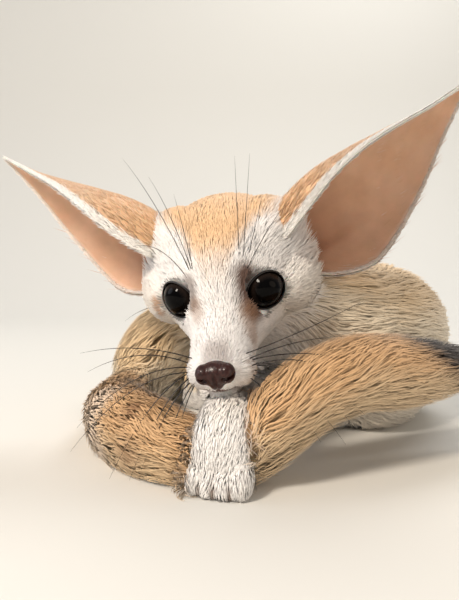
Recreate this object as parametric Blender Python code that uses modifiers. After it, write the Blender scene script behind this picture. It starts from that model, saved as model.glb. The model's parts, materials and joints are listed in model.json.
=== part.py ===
"""Life-size fennec fox that lies curled on a floor, its tail round in front and one forepaw laid over it.

Sizes are in millimetres until mesh_object() turns them to metres. +Z is up and the face looks towards -Y.
The origin is on the floor, in the flat under the chest. Left and right are the animal's own.
"""

import math
import random

import bmesh
import bpy
import numpy as np
from mathutils import Euler, Matrix, Vector

MM = 0.001
GAP = 0.35
COAT_GAP = 0.9

# Places along the floor are counted from the point under the middle of the eyes, heights from the floor.
UNDER_EYES = Vector((-75.0, -85.0, 0.0))
EYE_HEIGHT = 70.0
HEAD_PITCH = math.radians(20.0)
HEAD_ROLL = math.radians(-6.5)
HEAD_YAW = math.radians(-10.0)
HEAD_TURN = Euler((HEAD_PITCH, HEAD_ROLL, HEAD_YAW)).to_matrix()
HEAD_PLACE = Matrix.Translation(UNDER_EYES + Vector((0, 0, EYE_HEIGHT))) @ HEAD_TURN.to_4x4()

EYE_RADIUS = 9.2
EYE_CENTRE = (16.2, 1.8, 1.0)
GAZE = Vector((0.42, -0.90, 0.05)).normalized()
LID_SWELL = 1.5
LID_HALF_WIDE = math.radians(60)
LID_HALF_HIGH = math.radians(53)

# Muzzle and skull, nose to nape: distance back from the eyes, height, half width, rise above and fall below.
SKULL_ROWS = [
    (-40.0, -17.5, 4.0, 4.5, 5.0),
    (-37.5, -17.5, 7.5, 6.5, 7.0),
    (-32.0, -17.5, 10.5, 8.5, 9.0),
    (-26.0, -17.0, 12.0, 10.5, 10.5),
    (-18.0, -15.5, 13.0, 12.5, 12.5),
    (-9.0, -13.0, 15.5, 16.5, 16.5),
    (0.0, -9.0, 22.5, 23.5, 21.0),
    (10.0, -4.0, 30.5, 31.0, 23.5),
    (22.0, 0.0, 35.5, 34.5, 24.0),
    (34.0, 2.0, 35.5, 34.0, 25.0),
    (46.0, 2.0, 30.0, 28.0, 24.0),
    (56.0, 1.0, 16.0, 17.0, 18.0),
]
CHEEK = ((24.5, 18.0, -2.0), (14.5, 19.0, 15.0))
BROW = ((17.0, 18.0, 17.0), (14.0, 15.0, 13.0))
CREST = ((19.0, 25.0, 22.0), (13.0, 14.0, 12.0))
WHISKER_PAD = ((6.5, -28.0, -19.5), (7.0, 9.0, 7.5))
CHIN = ((0.0, -26.0, -26.5), (7.0, 10.0, 4.0))
NOSE = ((0.0, -39.0, -15.5), (6.8, 4.6, 4.9))
NOSTRIL = ((4.2, -43.2, -16.2), (1.7, 2.0, 1.2))
# Line between the lips on the left side, from under the nose to the corner of the mouth, and its half width.
MOUTH = [(0.0, -40.5, -23.0), (4.5, -37.0, -24.5), (9.0, -30.0, -25.0), (12.5, -19.0, -24.5), (14.5, -9.0, -22.0)]
PHILTRUM = [(0.0, -42.6, -18.2), (0.0, -42.2, -20.5), (0.0, -40.4, -22.8)]
LIP_LINE = 0.8

EAR_LENGTH = 104.0
EAR_THICKNESS = 1.8
EAR_ROOT = Vector((23.5, 20.0, 14.5))
# From root to tip: share of the length, half the leaf's width along its curve, half the angle it curls through,
# and how far it lies to the outer side of the line from root to tip.
EAR_ROWS = [
    (0.00, 27.0, 117, 5.0),
    (0.12, 39.5, 103, 7.0),
    (0.27, 44.5, 88, 8.5),
    (0.42, 38.5, 76, 8.5),
    (0.56, 29.5, 66, 8.0),
    (0.68, 21.0, 59, 7.0),
    (0.79, 12.5, 52, 5.0),
    (0.90, 6.0, 46, 2.5),
    (1.00, 0.9, 40, 0.0),
]
# Each ear's direction and the way its cup opens, as if both stood on the left side of the head.
EAR_RIGHT_SET = (Vector((0.81, 0.35, 0.46)), Vector((0.55, -0.71, -0.43)))
EAR_LEFT_SET = (Vector((0.83, 0.27, 0.48)), Vector((0.47, -0.81, -0.36)))

# Neck, from inside the skull to inside the shoulders: x, y, height, half width, rise, fall.
NECK_ROWS = [
    (6, 30, 69, 28, 28, 28),
    (20, 40, 64, 30, 29, 30),
    (38, 50, 57, 34, 32, 34),
    (56, 58, 50, 38, 35, 38),
]
# Trunk, from the breast round the back of the ring to the tail root.
TRUNK_ROWS = [
    (38, 36, 38, 20, 20, 24),
    (50, 46, 43, 33, 32, 40),
    (68, 63, 45, 41, 38, 47),
    (82, 92, 45, 44, 40, 48),
    (75, 124, 44, 43, 39, 47),
    (44, 146, 42, 41, 37, 45),
    (4, 148, 40, 40, 35, 44),
    (-28, 130, 35, 34, 29, 39),
    (-44, 106, 26, 24, 21, 31),
    (-50, 84, 18, 13, 13, 20),
]
# Tail, from inside the rump round to the tip.
TAIL_ROWS = [
    (-43, 107, 24, 12, 13, 20),
    (-50, 84, 17, 12, 12, 18),
    (-53, 58, 14, 14, 12, 16),
    (-50, 32, 15, 16, 14, 17),
    (-42, 6, 16, 17, 15.5, 17),
    (-24, -17, 15, 16, 14, 17),
    (-1, -27, 12, 14, 10, 13),
    (16, -28, 22, 15, 13, 17),
    (32, -23, 33, 16, 15, 16),
    (52, -14, 39, 17, 16, 16),
    (72, -3, 38, 17, 16, 16),
    (94, 10, 37, 14, 13, 13),
    (112, 21, 38, 9, 8, 8),
    (120, 26, 39, 2, 2, 2),
]

NECK_PLANE = ((14, 36, 66), (0.35, 0.90, -0.25))
SHOULDER_PLANE = ((42, 52, 54), (0.80, 0.55, -0.25))
LOIN_PLANE = ((60, 138, 44), (-0.85, 0.52, 0.0))
RUMP_PLANE = ((-50, 86, 20), (-0.15, -0.98, 0.0))
TAIL_BEND_PLANE = ((-42, 14, 20), (0.35, -0.94, 0.0))
TAIL_PAW_PLANE = ((24, -26, 24), (0.9, 0.2, 0.4))
TAIL_TIP_PLANE = ((86, 5, 38), (0.86, 0.50, 0.12))

# Left foreleg, over the tail: elbow, forearm, wrist, metacarpus. x, y, height, half width, rise, fall.
FORE_LEFT_ROWS = [
    (36, 46, 20, 13, 14, 13),
    (22, 26, 23, 11, 10, 10),
    (10, 4, 26, 10, 7.5, 7.5),
    (4, -14, 27, 10.5, 7, 7),
    (2, -28, 25, 11, 8, 7),
    (0, -36, 17, 12, 8, 7),
    (-1, -39, 9, 11.5, 6, 6),
]
# Right foreleg, tucked behind the tail.
FORE_RIGHT_ROWS = [
    (58, 56, 16, 13, 14, 16),
    (40, 52, 12, 10, 10, 12),
    (20, 42, 9, 9, 8, 10),
    (4, 32, 7, 10, 6.5, 8),
    (-6, 25, 6, 10, 5.5, 7),
]
# Hind legs: hock, metatarsus, toes, flat on the floor.
HIND_LEFT_ROWS = [
    (-44, 164, 12, 8, 10, 12),
    (-24, 174, 8, 9, 8, 9),
    (6, 185, 7, 9.5, 7, 8),
    (30, 191, 6, 11, 6, 7),
]
HIND_RIGHT_ROWS = [
    (-20, 98, 10, 7, 9, 11),
    (-6, 88, 8, 8, 8, 9),
    (12, 76, 7, 9, 7, 8),
    (24, 67, 6, 10, 6, 7),
]
# Balls of thigh and shank: place, half sizes and heading in degrees.
THIGH_LEFT = ((-12, 159, 33), (47, 31, 37), 14)
THIGH_RIGHT = ((10, 108, 30), (32, 20, 29), -24)
SHANK_LEFT = ((-34, 162, 20), (24, 18, 20), 14)
SHANK_RIGHT = ((-8, 100, 17), (20, 12, 15), -30)
TOE_RADII = (4.4, 7.5, 5.4)

# Long coat, as flat locks that lie back along the body: how far their tips stand out from the core, length, width,
# thickness, and the spacing of the rows along the body and of the locks round it.
TAIL_COAT = {"depth": 5.5, "length": 38.0, "width": 14.0, "thick": 4.0, "pitch": 23.0, "spread": 19.0}
TRUNK_COAT = {"depth": 6.5, "length": 50.0, "width": 19.0, "thick": 4.5, "pitch": 36.0, "spread": 31.0}
NECK_COAT = {"depth": 5.0, "length": 34.0, "width": 15.0, "thick": 4.0, "pitch": 24.0, "spread": 27.0}
STEP = 3.0
# Locks of the cheek ruff on the left side: root and the way that each lies, in the head's own frame.
CHEEK_LOCKS = [
    ((33.0, 19.0, -8.0), (0.40, 0.72, -0.55)),
    ((29.0, 21.0, -13.0), (0.30, 0.75, -0.55)),
    ((31.0, 12.0, -6.0), (0.45, 0.78, -0.40)),
    ((26.0, 12.0, -12.5), (0.35, 0.75, -0.55)),
    ((18.0, 22.0, -19.0), (0.20, 0.75, -0.60)),
]
CHEEK_LOCK = {"depth": 2.5, "length": 20.0, "width": 9.0, "thick": 3.0}

COLOURS = {
    "head": (0.80, 0.68, 0.55),
    "neck": (0.80, 0.70, 0.55),
    "torso": (0.78, 0.62, 0.42),
    "leg": (0.82, 0.78, 0.74),
    "tail": (0.68, 0.46, 0.26),
    "tail_tip": (0.10, 0.06, 0.04),
    "ear": (0.72, 0.50, 0.38),
    "eye": (0.02, 0.012, 0.01),
    "nose": (0.05, 0.025, 0.022),
}
ROUGHNESS = {"eye": 0.05, "nose": 0.3}


def clear_scene():
    for obj in list(bpy.data.objects):
        bpy.data.objects.remove(obj)


def material(name):
    made = bpy.data.materials.get(name) or bpy.data.materials.new(name)
    made.use_nodes = True
    shader = made.node_tree.nodes["Principled BSDF"]
    shader.inputs["Base Color"].default_value = (*COLOURS[name], 1.0)
    shader.inputs["Roughness"].default_value = ROUGHNESS.get(name, 0.85)
    shader.inputs["Metallic"].default_value = 0.0
    return made


def on_floor(point):
    """A place counted from under the eyes, in the part's frame."""
    return UNDER_EYES + Vector(point)


def spline(rows, samples):
    """Catmull-Rom through the rows, all their columns at once."""
    rows = np.array(rows, float)
    padded = np.vstack([2 * rows[0] - rows[1], rows, 2 * rows[-1] - rows[-2]])
    found = []
    for t in np.linspace(0, len(rows) - 1, samples):
        i = min(int(t), len(rows) - 2)
        u = t - i
        a, b, c, d = padded[i : i + 4]
        found.append(
            0.5 * (2 * b + (c - a) * u + (2 * a - 5 * b + 4 * c - d) * u**2 + (3 * b - a - 3 * c + d) * u**3)
        )
    return np.array(found)


def sections(rows, samples, up=Vector((0, 0, 1))):
    """Centre, heading, side, top and the three half sizes at even steps along a loft."""
    found = spline(rows, samples)
    places = []
    for i, row in enumerate(found):
        ahead = Vector(found[min(i + 1, samples - 1)][:3]) - Vector(found[max(i - 1, 0)][:3])
        side = ahead.cross(up).normalized()
        places.append((Vector(row[:3]), ahead.normalized(), side, side.cross(ahead).normalized(), row[3:6]))
    return places


def on_oval(section, angle):
    centre, ahead, side, top, (width, rise, fall) = section
    tall = rise if math.sin(angle) > 0 else fall
    return centre + side * (width * math.cos(angle)) + top * (tall * math.sin(angle))


def add_loft(bm, rows, samples=28, sides=24, up=Vector((0, 0, 1))):
    """Closed skin through oval rings. A row is a centre and a half width, a rise and a fall."""
    rings = []
    for section in sections(rows, samples, up):
        rings.append([bm.verts.new(on_oval(section, math.tau * k / sides)) for k in range(sides)])
    for first, second in zip(rings, rings[1:]):
        for k in range(sides):
            n = (k + 1) % sides
            bm.faces.new((first[k], first[n], second[n], second[k]))
    bm.faces.new(list(reversed(rings[0])))
    bm.faces.new(rings[-1])


def add_ball(bm, centre, radii, turn=Matrix.Identity(3), segments=24):
    shape = Matrix.Translation(Vector(centre)) @ turn.to_4x4() @ Matrix.Diagonal((*radii, 1.0))
    bmesh.ops.create_uvsphere(bm, u_segments=segments, v_segments=segments // 2, radius=1.0, matrix=shape)


def mesh_object(name, bm, place=Matrix.Identity(4)):
    """A new object from a bmesh in millimetres, with its faces pointing out."""
    bm.transform(place)
    bmesh.ops.recalc_face_normals(bm, faces=bm.faces)
    bmesh.ops.scale(bm, vec=(MM, MM, MM), verts=bm.verts)
    mesh = bpy.data.meshes.new(name)
    bm.to_mesh(mesh)
    bm.free()
    obj = bpy.data.objects.new(name, mesh)
    bpy.context.scene.collection.objects.link(obj)
    return obj


def apply_modifiers(obj):
    bpy.context.view_layer.update()
    graph = bpy.context.evaluated_depsgraph_get()
    evaluated = bpy.data.meshes.new_from_object(obj.evaluated_get(graph))
    obj.modifiers.clear()
    obj.data = evaluated
    return obj


def triangle_count(mesh):
    return sum(len(face.vertices) - 2 for face in mesh.polygons)


def melt(obj, cell, rounds, triangles):
    """Fuses overlapping forms into one smooth skin of about that many triangles."""
    remesh = obj.modifiers.new("fuse", "REMESH")
    remesh.mode = "VOXEL"
    remesh.voxel_size = cell * MM
    smooth = obj.modifiers.new("smooth", "SMOOTH")
    smooth.factor = 0.5
    smooth.iterations = rounds
    apply_modifiers(obj)
    thin = obj.modifiers.new("thin", "DECIMATE")
    thin.ratio = min(1.0, triangles / triangle_count(obj.data))
    return apply_modifiers(obj)


def boolean(obj, other, operation, solver="MANIFOLD"):
    """Applies one Boolean with an object and then removes that object."""
    step = obj.modifiers.new(operation, "BOOLEAN")
    step.operation = operation
    step.solver = solver
    step.object = other
    apply_modifiers(obj)
    bpy.data.objects.remove(other)
    return obj


def grown_copy(obj, distance=GAP):
    """A copy whose skin lies that far outside, to cut a neighbour with a gap."""
    copy = obj.copy()
    copy.data = obj.data.copy()
    bpy.context.scene.collection.objects.link(copy)
    push = copy.modifiers.new("gap", "DISPLACE")
    push.strength = distance * MM
    push.mid_level = 0.0
    return apply_modifiers(copy)


def slab(point, normal, size=600.0):
    """A large block whose one face lies in the plane, on the side the normal points to."""
    bm = bmesh.new()
    facing = Vector((0, 0, 1)).rotation_difference(Vector(normal)).to_matrix().to_4x4()
    centre = Vector(point) + Vector(normal).normalized() * (size / 2)
    bmesh.ops.create_cube(bm, size=size, matrix=Matrix.Translation(centre) @ facing)
    return mesh_object("slab", bm)


def cut_beyond(obj, plane, side=1):
    """Removes what lies past a parting plane, and half the gap before it. Side -1 removes the near side."""
    point, normal = on_floor(plane[0]), Vector(plane[1]).normalized() * side
    return boolean(obj, slab(point - normal * (GAP / 2), normal), "DIFFERENCE")


def cut_floor(obj):
    return boolean(obj, slab((0, 0, 0), (0, 0, -1)), "DIFFERENCE")


def is_closed(obj):
    bm = bmesh.new()
    bm.from_mesh(obj.data)
    whole = all(len(edge.link_faces) == 2 for edge in bm.edges)
    bm.free()
    return whole


def keep_largest(obj):
    """Drops every loose closed surface but the one that encloses most."""
    bm = bmesh.new()
    bm.from_mesh(obj.data)
    left = set(bm.verts)
    groups = []
    while left:
        group, front = set(), [left.pop()]
        while front:
            vert = front.pop()
            group.add(vert)
            for edge in vert.link_edges:
                other = edge.other_vert(vert)
                if other in left:
                    left.discard(other)
                    front.append(other)
        groups.append(group)

    def enclosed(group):
        faces = {face for vert in group for face in vert.link_faces}
        total = 0.0
        for face in faces:
            first, *rest = [vert.co for vert in face.verts]
            total += sum(first.dot(a.cross(b)) for a, b in zip(rest, rest[1:]))
        return abs(total)

    groups.sort(key=enclosed)
    loose = [vert for group in groups[:-1] for vert in group]
    bmesh.ops.delete(bm, geom=loose, context="VERTS")
    bm.to_mesh(obj.data)
    bm.free()
    return obj


def split_faces(obj):
    """Turns every face into triangles by the first way that leaves each edge with two faces."""
    whole = obj.data.copy()
    for method in ("BEAUTY", "EAR_CLIP"):
        bm = bmesh.new()
        bm.from_mesh(whole)
        bmesh.ops.triangulate(bm, faces=bm.faces, ngon_method=method)
        bm.to_mesh(obj.data)
        bm.free()
        if is_closed(obj):
            break
    return obj


def finish(obj, colour):
    split_faces(keep_largest(obj))
    obj.data.materials.clear()
    obj.data.materials.append(material(colour))
    obj.data.shade_smooth()
    obj.data.set_sharp_from_angle(angle=math.radians(40))
    return obj


def mirrored(point, side):
    return Vector((point[0] * side, point[1], point[2]))


def add_skull(bm):
    rows = [(0.0, back, height, width, rise, fall) for back, height, width, rise, fall in SKULL_ROWS]
    add_loft(bm, rows, samples=40, sides=32)
    add_ball(bm, *CHIN)
    swell = EYE_RADIUS + LID_SWELL
    for side in (-1, 1):
        for centre, radii in (CHEEK, BROW, CREST, WHISKER_PAD, (EYE_CENTRE, (swell, swell, swell))):
            add_ball(bm, mirrored(centre, side), radii)


def placed(rows, depth=0.0):
    """Rows of the body in the part's frame, drawn in by the coat's depth except where they lie on the floor."""
    found = []
    for x, y, height, width, rise, fall in rows:
        under = fall if fall >= height - 0.5 else fall - depth
        found.append((*on_floor((x, y, height)), max(width - depth, 1.0), max(rise - depth, 1.0), max(under, 1.0)))
    return found


def add_neck(bm, depth=0.0):
    add_loft(bm, placed(NECK_ROWS, depth))


def add_trunk(bm, rows=TRUNK_ROWS, depth=0.0):
    add_loft(bm, placed(rows, depth), samples=44, sides=32)


def add_tail(bm, depth=0.0):
    add_loft(bm, placed(TAIL_ROWS, depth), samples=52)


def eye_ball(name, side, extra=0.0, segments=16):
    bm = bmesh.new()
    radius = EYE_RADIUS + extra
    add_ball(bm, mirrored(EYE_CENTRE, side), (radius, radius, radius), segments=segments)
    return mesh_object(name, bm, HEAD_PLACE)


def lid_opening(side):
    """The part of a ball about the eye that shows between the lids, out past the swell of the lids."""
    bm = bmesh.new()
    centre = mirrored(EYE_CENTRE, side)
    gaze = mirrored(GAZE, side)
    across = gaze.cross(Vector((0, 0, 1))).normalized() * side
    upward = across.cross(gaze).normalized() * side
    sides, reach, slant = 20, EYE_RADIUS + 4.0, 0.12
    rings = []
    for share in (1.0, 0.5):
        ring = []
        for k in range(sides):
            angle = math.tau * k / sides
            wide = share * LID_HALF_WIDE * math.cos(angle)
            high = share * LID_HALF_HIGH * math.sin(angle) - slant * wide
            spread = math.hypot(wide, high)
            sideways = (across * wide + upward * high) / spread
            ring.append(bm.verts.new(centre + (gaze * math.cos(spread) + sideways * math.sin(spread)) * reach))
        rings.append(ring)
    inner = bm.verts.new(centre)
    outer = bm.verts.new(centre + gaze * reach)
    for k in range(sides):
        n = (k + 1) % sides
        bm.faces.new((inner, rings[0][n], rings[0][k]))
        bm.faces.new((rings[0][k], rings[0][n], rings[1][n], rings[1][k]))
        bm.faces.new((rings[1][k], rings[1][n], outer))
    return mesh_object("lid_opening", bm, HEAD_PLACE)


def groove(obj, places, radius, up=Vector((0, 0, 1))):
    """Cuts a fine line into a surface along places near it, given in the head's own frame."""
    found = []
    for place in spline(places, 4 * len(places)):
        near = obj.closest_point_on_mesh(HEAD_PLACE @ Vector(place) * MM)[1] / MM
        if not found or (near - found[-1]).length > radius:
            found.append(near)
    bm = bmesh.new()
    rows = [(*place, radius, radius, radius) for place in found]
    add_loft(bm, rows, samples=len(rows), sides=6, up=up)
    boolean(obj, mesh_object("groove", bm), "DIFFERENCE")


def make_head():
    bm = bmesh.new()
    add_skull(bm)
    bm.transform(HEAD_PLACE)
    add_neck(bm)
    head = melt(mesh_object("head", bm), 1.5, 5, 1590)
    fuse(head, cheek_locks())
    cut_beyond(head, NECK_PLANE)
    left_half = MOUTH[1:]
    right_half = [(-x, y, z) for x, y, z in reversed(left_half)]
    groove(head, right_half + [MOUTH[0]] + left_half, LIP_LINE)
    groove(head, PHILTRUM, LIP_LINE, up=Vector((1, 0, 0)))
    for side in (-1, 1):
        boolean(head, eye_ball("socket", side, GAP), "DIFFERENCE")
        boolean(head, lid_opening(side), "DIFFERENCE")
    return head


def make_ear(name, side, ear_set):
    """A leaf rolled to a cup: a funnel at the root, opening towards its point."""
    bm = bmesh.new()
    axis, opening = (mirrored(way, side) for way in ear_set)
    axis.normalize()
    opening = (opening - axis * opening.dot(axis)).normalized()
    across = axis.cross(opening)
    root = mirrored(EAR_ROOT, side)
    steps, spans = 12, 8
    grid = []
    for share, half, degrees, outward in spline(EAR_ROWS, steps + 1):
        roll = math.radians(degrees)
        bend = half / roll
        middle = root + axis * (EAR_LENGTH * share) + across * (outward * side)
        middle -= opening * (bend * (1 - math.cos(roll)) / 2)
        row = []
        for k in range(spans + 1):
            angle = roll * (2 * k / spans - 1)
            place = across * math.sin(angle) + opening * (1 - math.cos(angle))
            row.append(bm.verts.new(middle + place * bend))
        grid.append(row)
    for low, high in zip(grid, grid[1:]):
        for k in range(spans):
            bm.faces.new((low[k], low[k + 1], high[k + 1], high[k]))
    ear = mesh_object(name, bm, HEAD_PLACE)
    wall = ear.modifiers.new("wall", "SOLIDIFY")
    wall.thickness = EAR_THICKNESS * MM
    wall.offset = 0.0
    return apply_modifiers(ear)


def lock(places, coat):
    """Flat tapered lock through a sunk root, two rings and a tip, each given as a place and the way out."""
    bm = bmesh.new()
    rings = []
    for i, wide in enumerate((0.85, 1.0, 0.66)):
        place, out = places[i]
        lie = (places[i + 1][0] - place).normalized()
        side = lie.cross(out).normalized()
        half = side * (coat["width"] * wide / 2)
        thick = side.cross(lie) * (coat["thick"] * wide / 2)
        rings.append([bm.verts.new(place + step) for step in (half, thick, -half, -thick)])
    tip = bm.verts.new(places[3][0])
    for first, second in zip(rings, rings[1:]):
        for k in range(4):
            n = (k + 1) % 4
            bm.faces.new((first[k], first[n], second[n], second[k]))
    for k in range(4):
        bm.faces.new((rings[-1][k], rings[-1][(k + 1) % 4], tip))
    bm.faces.new(list(reversed(rings[0])))
    return mesh_object("lock", bm)


def between(point, planes):
    """Whether a place lies between the parting planes, or up to a millimetre past them."""
    return all(
        (point - on_floor(place)).dot(Vector(normal).normalized()) * side < 1.0 for (place, normal), side in planes
    )


def coat_along(rows, coat, planes, seed):
    """Staggered rows of locks that follow a loft, those that reach between the parting planes."""
    draw = random.Random(seed)
    outline = placed(rows)
    length = sum((Vector(a[:3]) - Vector(b[:3])).length for a, b in zip(outline, outline[1:]))
    steps = round(length / STEP)
    fine = sections(outline, steps)
    locks = []
    for i in range(int(length / coat["pitch"])):
        start = round(i * coat["pitch"] / STEP)
        width, rise, fall = fine[start][4]
        around = max(4, round(math.pi * (width + (rise + fall) / 2) / coat["spread"]))
        for k in range(around):
            angle = math.tau * (k + 0.5 * (i % 2) + draw.uniform(-0.15, 0.15)) / around
            reach = coat["length"] * draw.uniform(0.85, 1.1) / STEP
            drift, stand = draw.uniform(-0.25, 0.25), draw.uniform(-0.1, 0.35)
            places = []
            for along, lift in ((0.0, -2.0), (0.36, -0.75), (0.72, -0.1), (1.0, stand)):
                section = fine[min(start + round(along * reach), steps - 1)]
                skin = on_oval(section, angle + drift * along)
                out = (skin - section[0]).normalized()
                past = max(0.0, start + along * reach - steps + 1) * STEP
                places.append((skin + out * (coat["depth"] * lift) + section[1] * past, out))
            near = any(between(place, planes) for place, _ in places)
            if places[1][0].z > 6.0 and near and min(width, rise) > coat["depth"] * 1.5:
                locks.append(lock(places, coat))
    return locks


def cheek_locks():
    turn = HEAD_PLACE.to_3x3()
    size = CHEEK_LOCK
    locks = []
    for side in (-1, 1):
        for root, lie in CHEEK_LOCKS:
            out = (turn @ mirrored((root[0], root[1] - 18.0, root[2] + 2.0), side)).normalized()
            base, ahead = HEAD_PLACE @ mirrored(root, side), (turn @ mirrored(lie, side)).normalized()
            places = [(base, out)]
            for along, lift in ((0.36, 0.6), (0.72, 1.0), (1.0, 0.9)):
                places.append((base + ahead * (size["length"] * along) + out * (size["depth"] * lift), out))
            locks.append(lock(places, size))
    return locks


def fuse(obj, pieces):
    """Joins closed pieces to a core with one union and then removes them."""
    holder = bpy.data.collections.new("locks")
    bpy.context.scene.collection.children.link(holder)
    for piece in pieces:
        bpy.context.scene.collection.objects.unlink(piece)
        holder.objects.link(piece)
    step = obj.modifiers.new("locks", "BOOLEAN")
    step.operation = "UNION"
    step.operand_type = "COLLECTION"
    step.collection = holder
    step.solver = "MANIFOLD"
    apply_modifiers(obj)
    for piece in pieces:
        bpy.data.objects.remove(piece)
    bpy.data.collections.remove(holder)
    return obj


def make_neck():
    depth = NECK_COAT["depth"]
    bm = bmesh.new()
    add_skull(bm)
    bm.transform(HEAD_PLACE)
    add_neck(bm, depth)
    add_trunk(bm, TRUNK_ROWS[:4], depth)
    neck = melt(mesh_object("neck", bm), 2.2, 6, 1100)
    planes = [(NECK_PLANE, -1), (SHOULDER_PLANE, 1)]
    fuse(neck, coat_along(NECK_ROWS, NECK_COAT, planes, 3))
    for plane, side in planes:
        cut_beyond(neck, plane, side)
    return neck


def make_torso(name, rear):
    depth = TRUNK_COAT["depth"]
    bm = bmesh.new()
    add_trunk(bm, depth=depth)
    if rear:
        add_tail(bm, TAIL_COAT["depth"])
    else:
        add_neck(bm, NECK_COAT["depth"])
    torso = melt(mesh_object(name, bm), 2.5, 6, 1100)
    planes = [(LOIN_PLANE, -1), (RUMP_PLANE, 1)] if rear else [(SHOULDER_PLANE, -1), (LOIN_PLANE, 1)]
    fuse(torso, coat_along(TRUNK_ROWS[1:-1], TRUNK_COAT, planes, 5))
    for plane, side in planes:
        cut_beyond(torso, plane, side)
    return cut_floor(torso)


def make_tail(name, planes, seed):
    bm = bmesh.new()
    add_tail(bm, TAIL_COAT["depth"])
    tail = melt(mesh_object(name, bm), 1.8, 4, 900)
    fuse(tail, coat_along(TAIL_ROWS[1:], TAIL_COAT, planes, seed))
    for plane, side in planes:
        cut_beyond(tail, plane, side)
    return cut_floor(tail)


def add_toes(bm, rows):
    """Four toes that fan out past the last ring of a leg."""
    last, before = Vector(rows[-1][:3]), Vector(rows[-2][:3])
    ahead = (last - before).normalized()
    side = ahead.cross(Vector((0, 0, 1))).normalized()
    turn = Vector((0, 1, 0)).rotation_difference(ahead).to_matrix()
    for place in (-1.5, -0.5, 0.5, 1.5):
        reach = 5.5 - 1.6 * abs(place)
        centre = on_floor(last) + side * (place * 5.6) + ahead * reach
        add_ball(bm, centre, TOE_RADII, turn, 16)


def make_leg(name, rows, balls=(), triangles=460):
    bm = bmesh.new()
    add_loft(bm, [(*on_floor(row[:3]), *row[3:]) for row in rows], samples=24, sides=20)
    add_toes(bm, rows)
    for centre, radii, heading in balls:
        add_ball(bm, on_floor(centre), radii, Matrix.Rotation(math.radians(heading), 3, "Z"))
    leg = melt(mesh_object(name, bm), 1.4, 3, triangles)
    return cut_floor(leg)


def make_nose():
    """Nose pad with a nostril each side."""
    bm = bmesh.new()
    add_ball(bm, *NOSE, segments=16)
    nose = mesh_object("nose", bm, HEAD_PLACE)
    for side in (-1, 1):
        bm = bmesh.new()
        add_ball(bm, mirrored(NOSTRIL[0], side), NOSTRIL[1], segments=10)
        boolean(nose, mesh_object("nostril", bm, HEAD_PLACE), "DIFFERENCE")
    return nose


def box_corners(obj):
    places = np.array([vert.co for vert in obj.data.vertices])
    return places.min(axis=0), places.max(axis=0)


def boxes_meet(first, second):
    (low, high), (other_low, other_high) = box_corners(first), box_corners(second)
    return bool(np.all(low < other_high + GAP * MM) and np.all(other_low < high + GAP * MM))


def carve(obj, *neighbours, gap=GAP):
    """Cuts neighbours away with a gap, a little wider where the cut would leave two walls that share an edge."""
    for neighbour in neighbours:
        if not boxes_meet(obj, neighbour):
            continue
        before = obj.data.copy()
        for wider in (1.0, 1.08, 1.17, 1.3):
            boolean(obj, grown_copy(neighbour, gap * wider), "DIFFERENCE")
            if is_closed(keep_largest(obj)):
                break
            obj.data = before.copy()


def main():
    clear_scene()
    head = make_head()
    nose = make_nose()
    carve(head, nose)
    eyes = [eye_ball(name, side) for name, side in (("eye_right", -1), ("eye_left", 1))]
    ears = [make_ear("ear_right", -1, EAR_RIGHT_SET), make_ear("ear_left", 1, EAR_LEFT_SET)]
    neck = make_neck()
    torso_front = make_torso("torso_front", rear=False)
    torso_rear = make_torso("torso_rear", rear=True)
    fore_left = make_leg("leg_front_left", FORE_LEFT_ROWS)
    fore_right = make_leg("leg_front_right", FORE_RIGHT_ROWS)
    hind_left = make_leg("leg_hind_left", HIND_LEFT_ROWS, (THIGH_LEFT, SHANK_LEFT), 560)
    hind_right = make_leg("leg_hind_right", HIND_RIGHT_ROWS, (THIGH_RIGHT, SHANK_RIGHT), 560)
    tails = [
        make_tail("tail_base", [(RUMP_PLANE, -1), (TAIL_BEND_PLANE, 1)], 11),
        make_tail("tail_bend", [(TAIL_BEND_PLANE, -1), (TAIL_PAW_PLANE, 1)], 12),
        make_tail("tail_front", [(TAIL_PAW_PLANE, -1), (TAIL_TIP_PLANE, 1)], 13),
        make_tail("tail_tip", [(TAIL_TIP_PLANE, -1)], 14),
    ]
    for ear in ears:
        carve(ear, head, neck, gap=COAT_GAP)
    carve(fore_left, head)
    carve(fore_right, fore_left)
    carve(hind_right, fore_left, fore_right, hind_left)
    carve(neck, fore_left, fore_right)
    carve(torso_front, fore_left, fore_right, hind_right)
    carve(torso_front, head, gap=COAT_GAP)
    carve(torso_rear, hind_left, hind_right, fore_right)
    carve(torso_rear, neck, gap=COAT_GAP)
    for tail in tails:
        carve(tail, fore_left, fore_right, hind_left, hind_right)
        carve(tail, head, neck, torso_front, gap=COAT_GAP)
    for obj, colour in [(head, "head"), (nose, "nose"), (neck, "neck"), (tails[-1], "tail_tip")]:
        finish(obj, colour)
    for objects, colour in [
        (eyes, "eye"),
        (ears, "ear"),
        ([torso_front, torso_rear], "torso"),
        ([fore_left, fore_right, hind_left, hind_right], "leg"),
        (tails[:-1], "tail"),
    ]:
        for obj in objects:
            finish(obj, colour)


main()
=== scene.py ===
# Life-size fennec fox lying curled on a floor: skin, eyes, nose, ears, whiskers and coat.
# Tables are in millimetres. Places on the body are counted from the point on the floor under the eyes,
# places on the head from the middle of the eyes, with x to the animal's left, y back and z up.
import json
import math

import bpy
import numpy as np
from mathutils import Euler, Matrix, Vector
from mathutils.bvhtree import BVHTree
from mathutils.kdtree import KDTree

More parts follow.
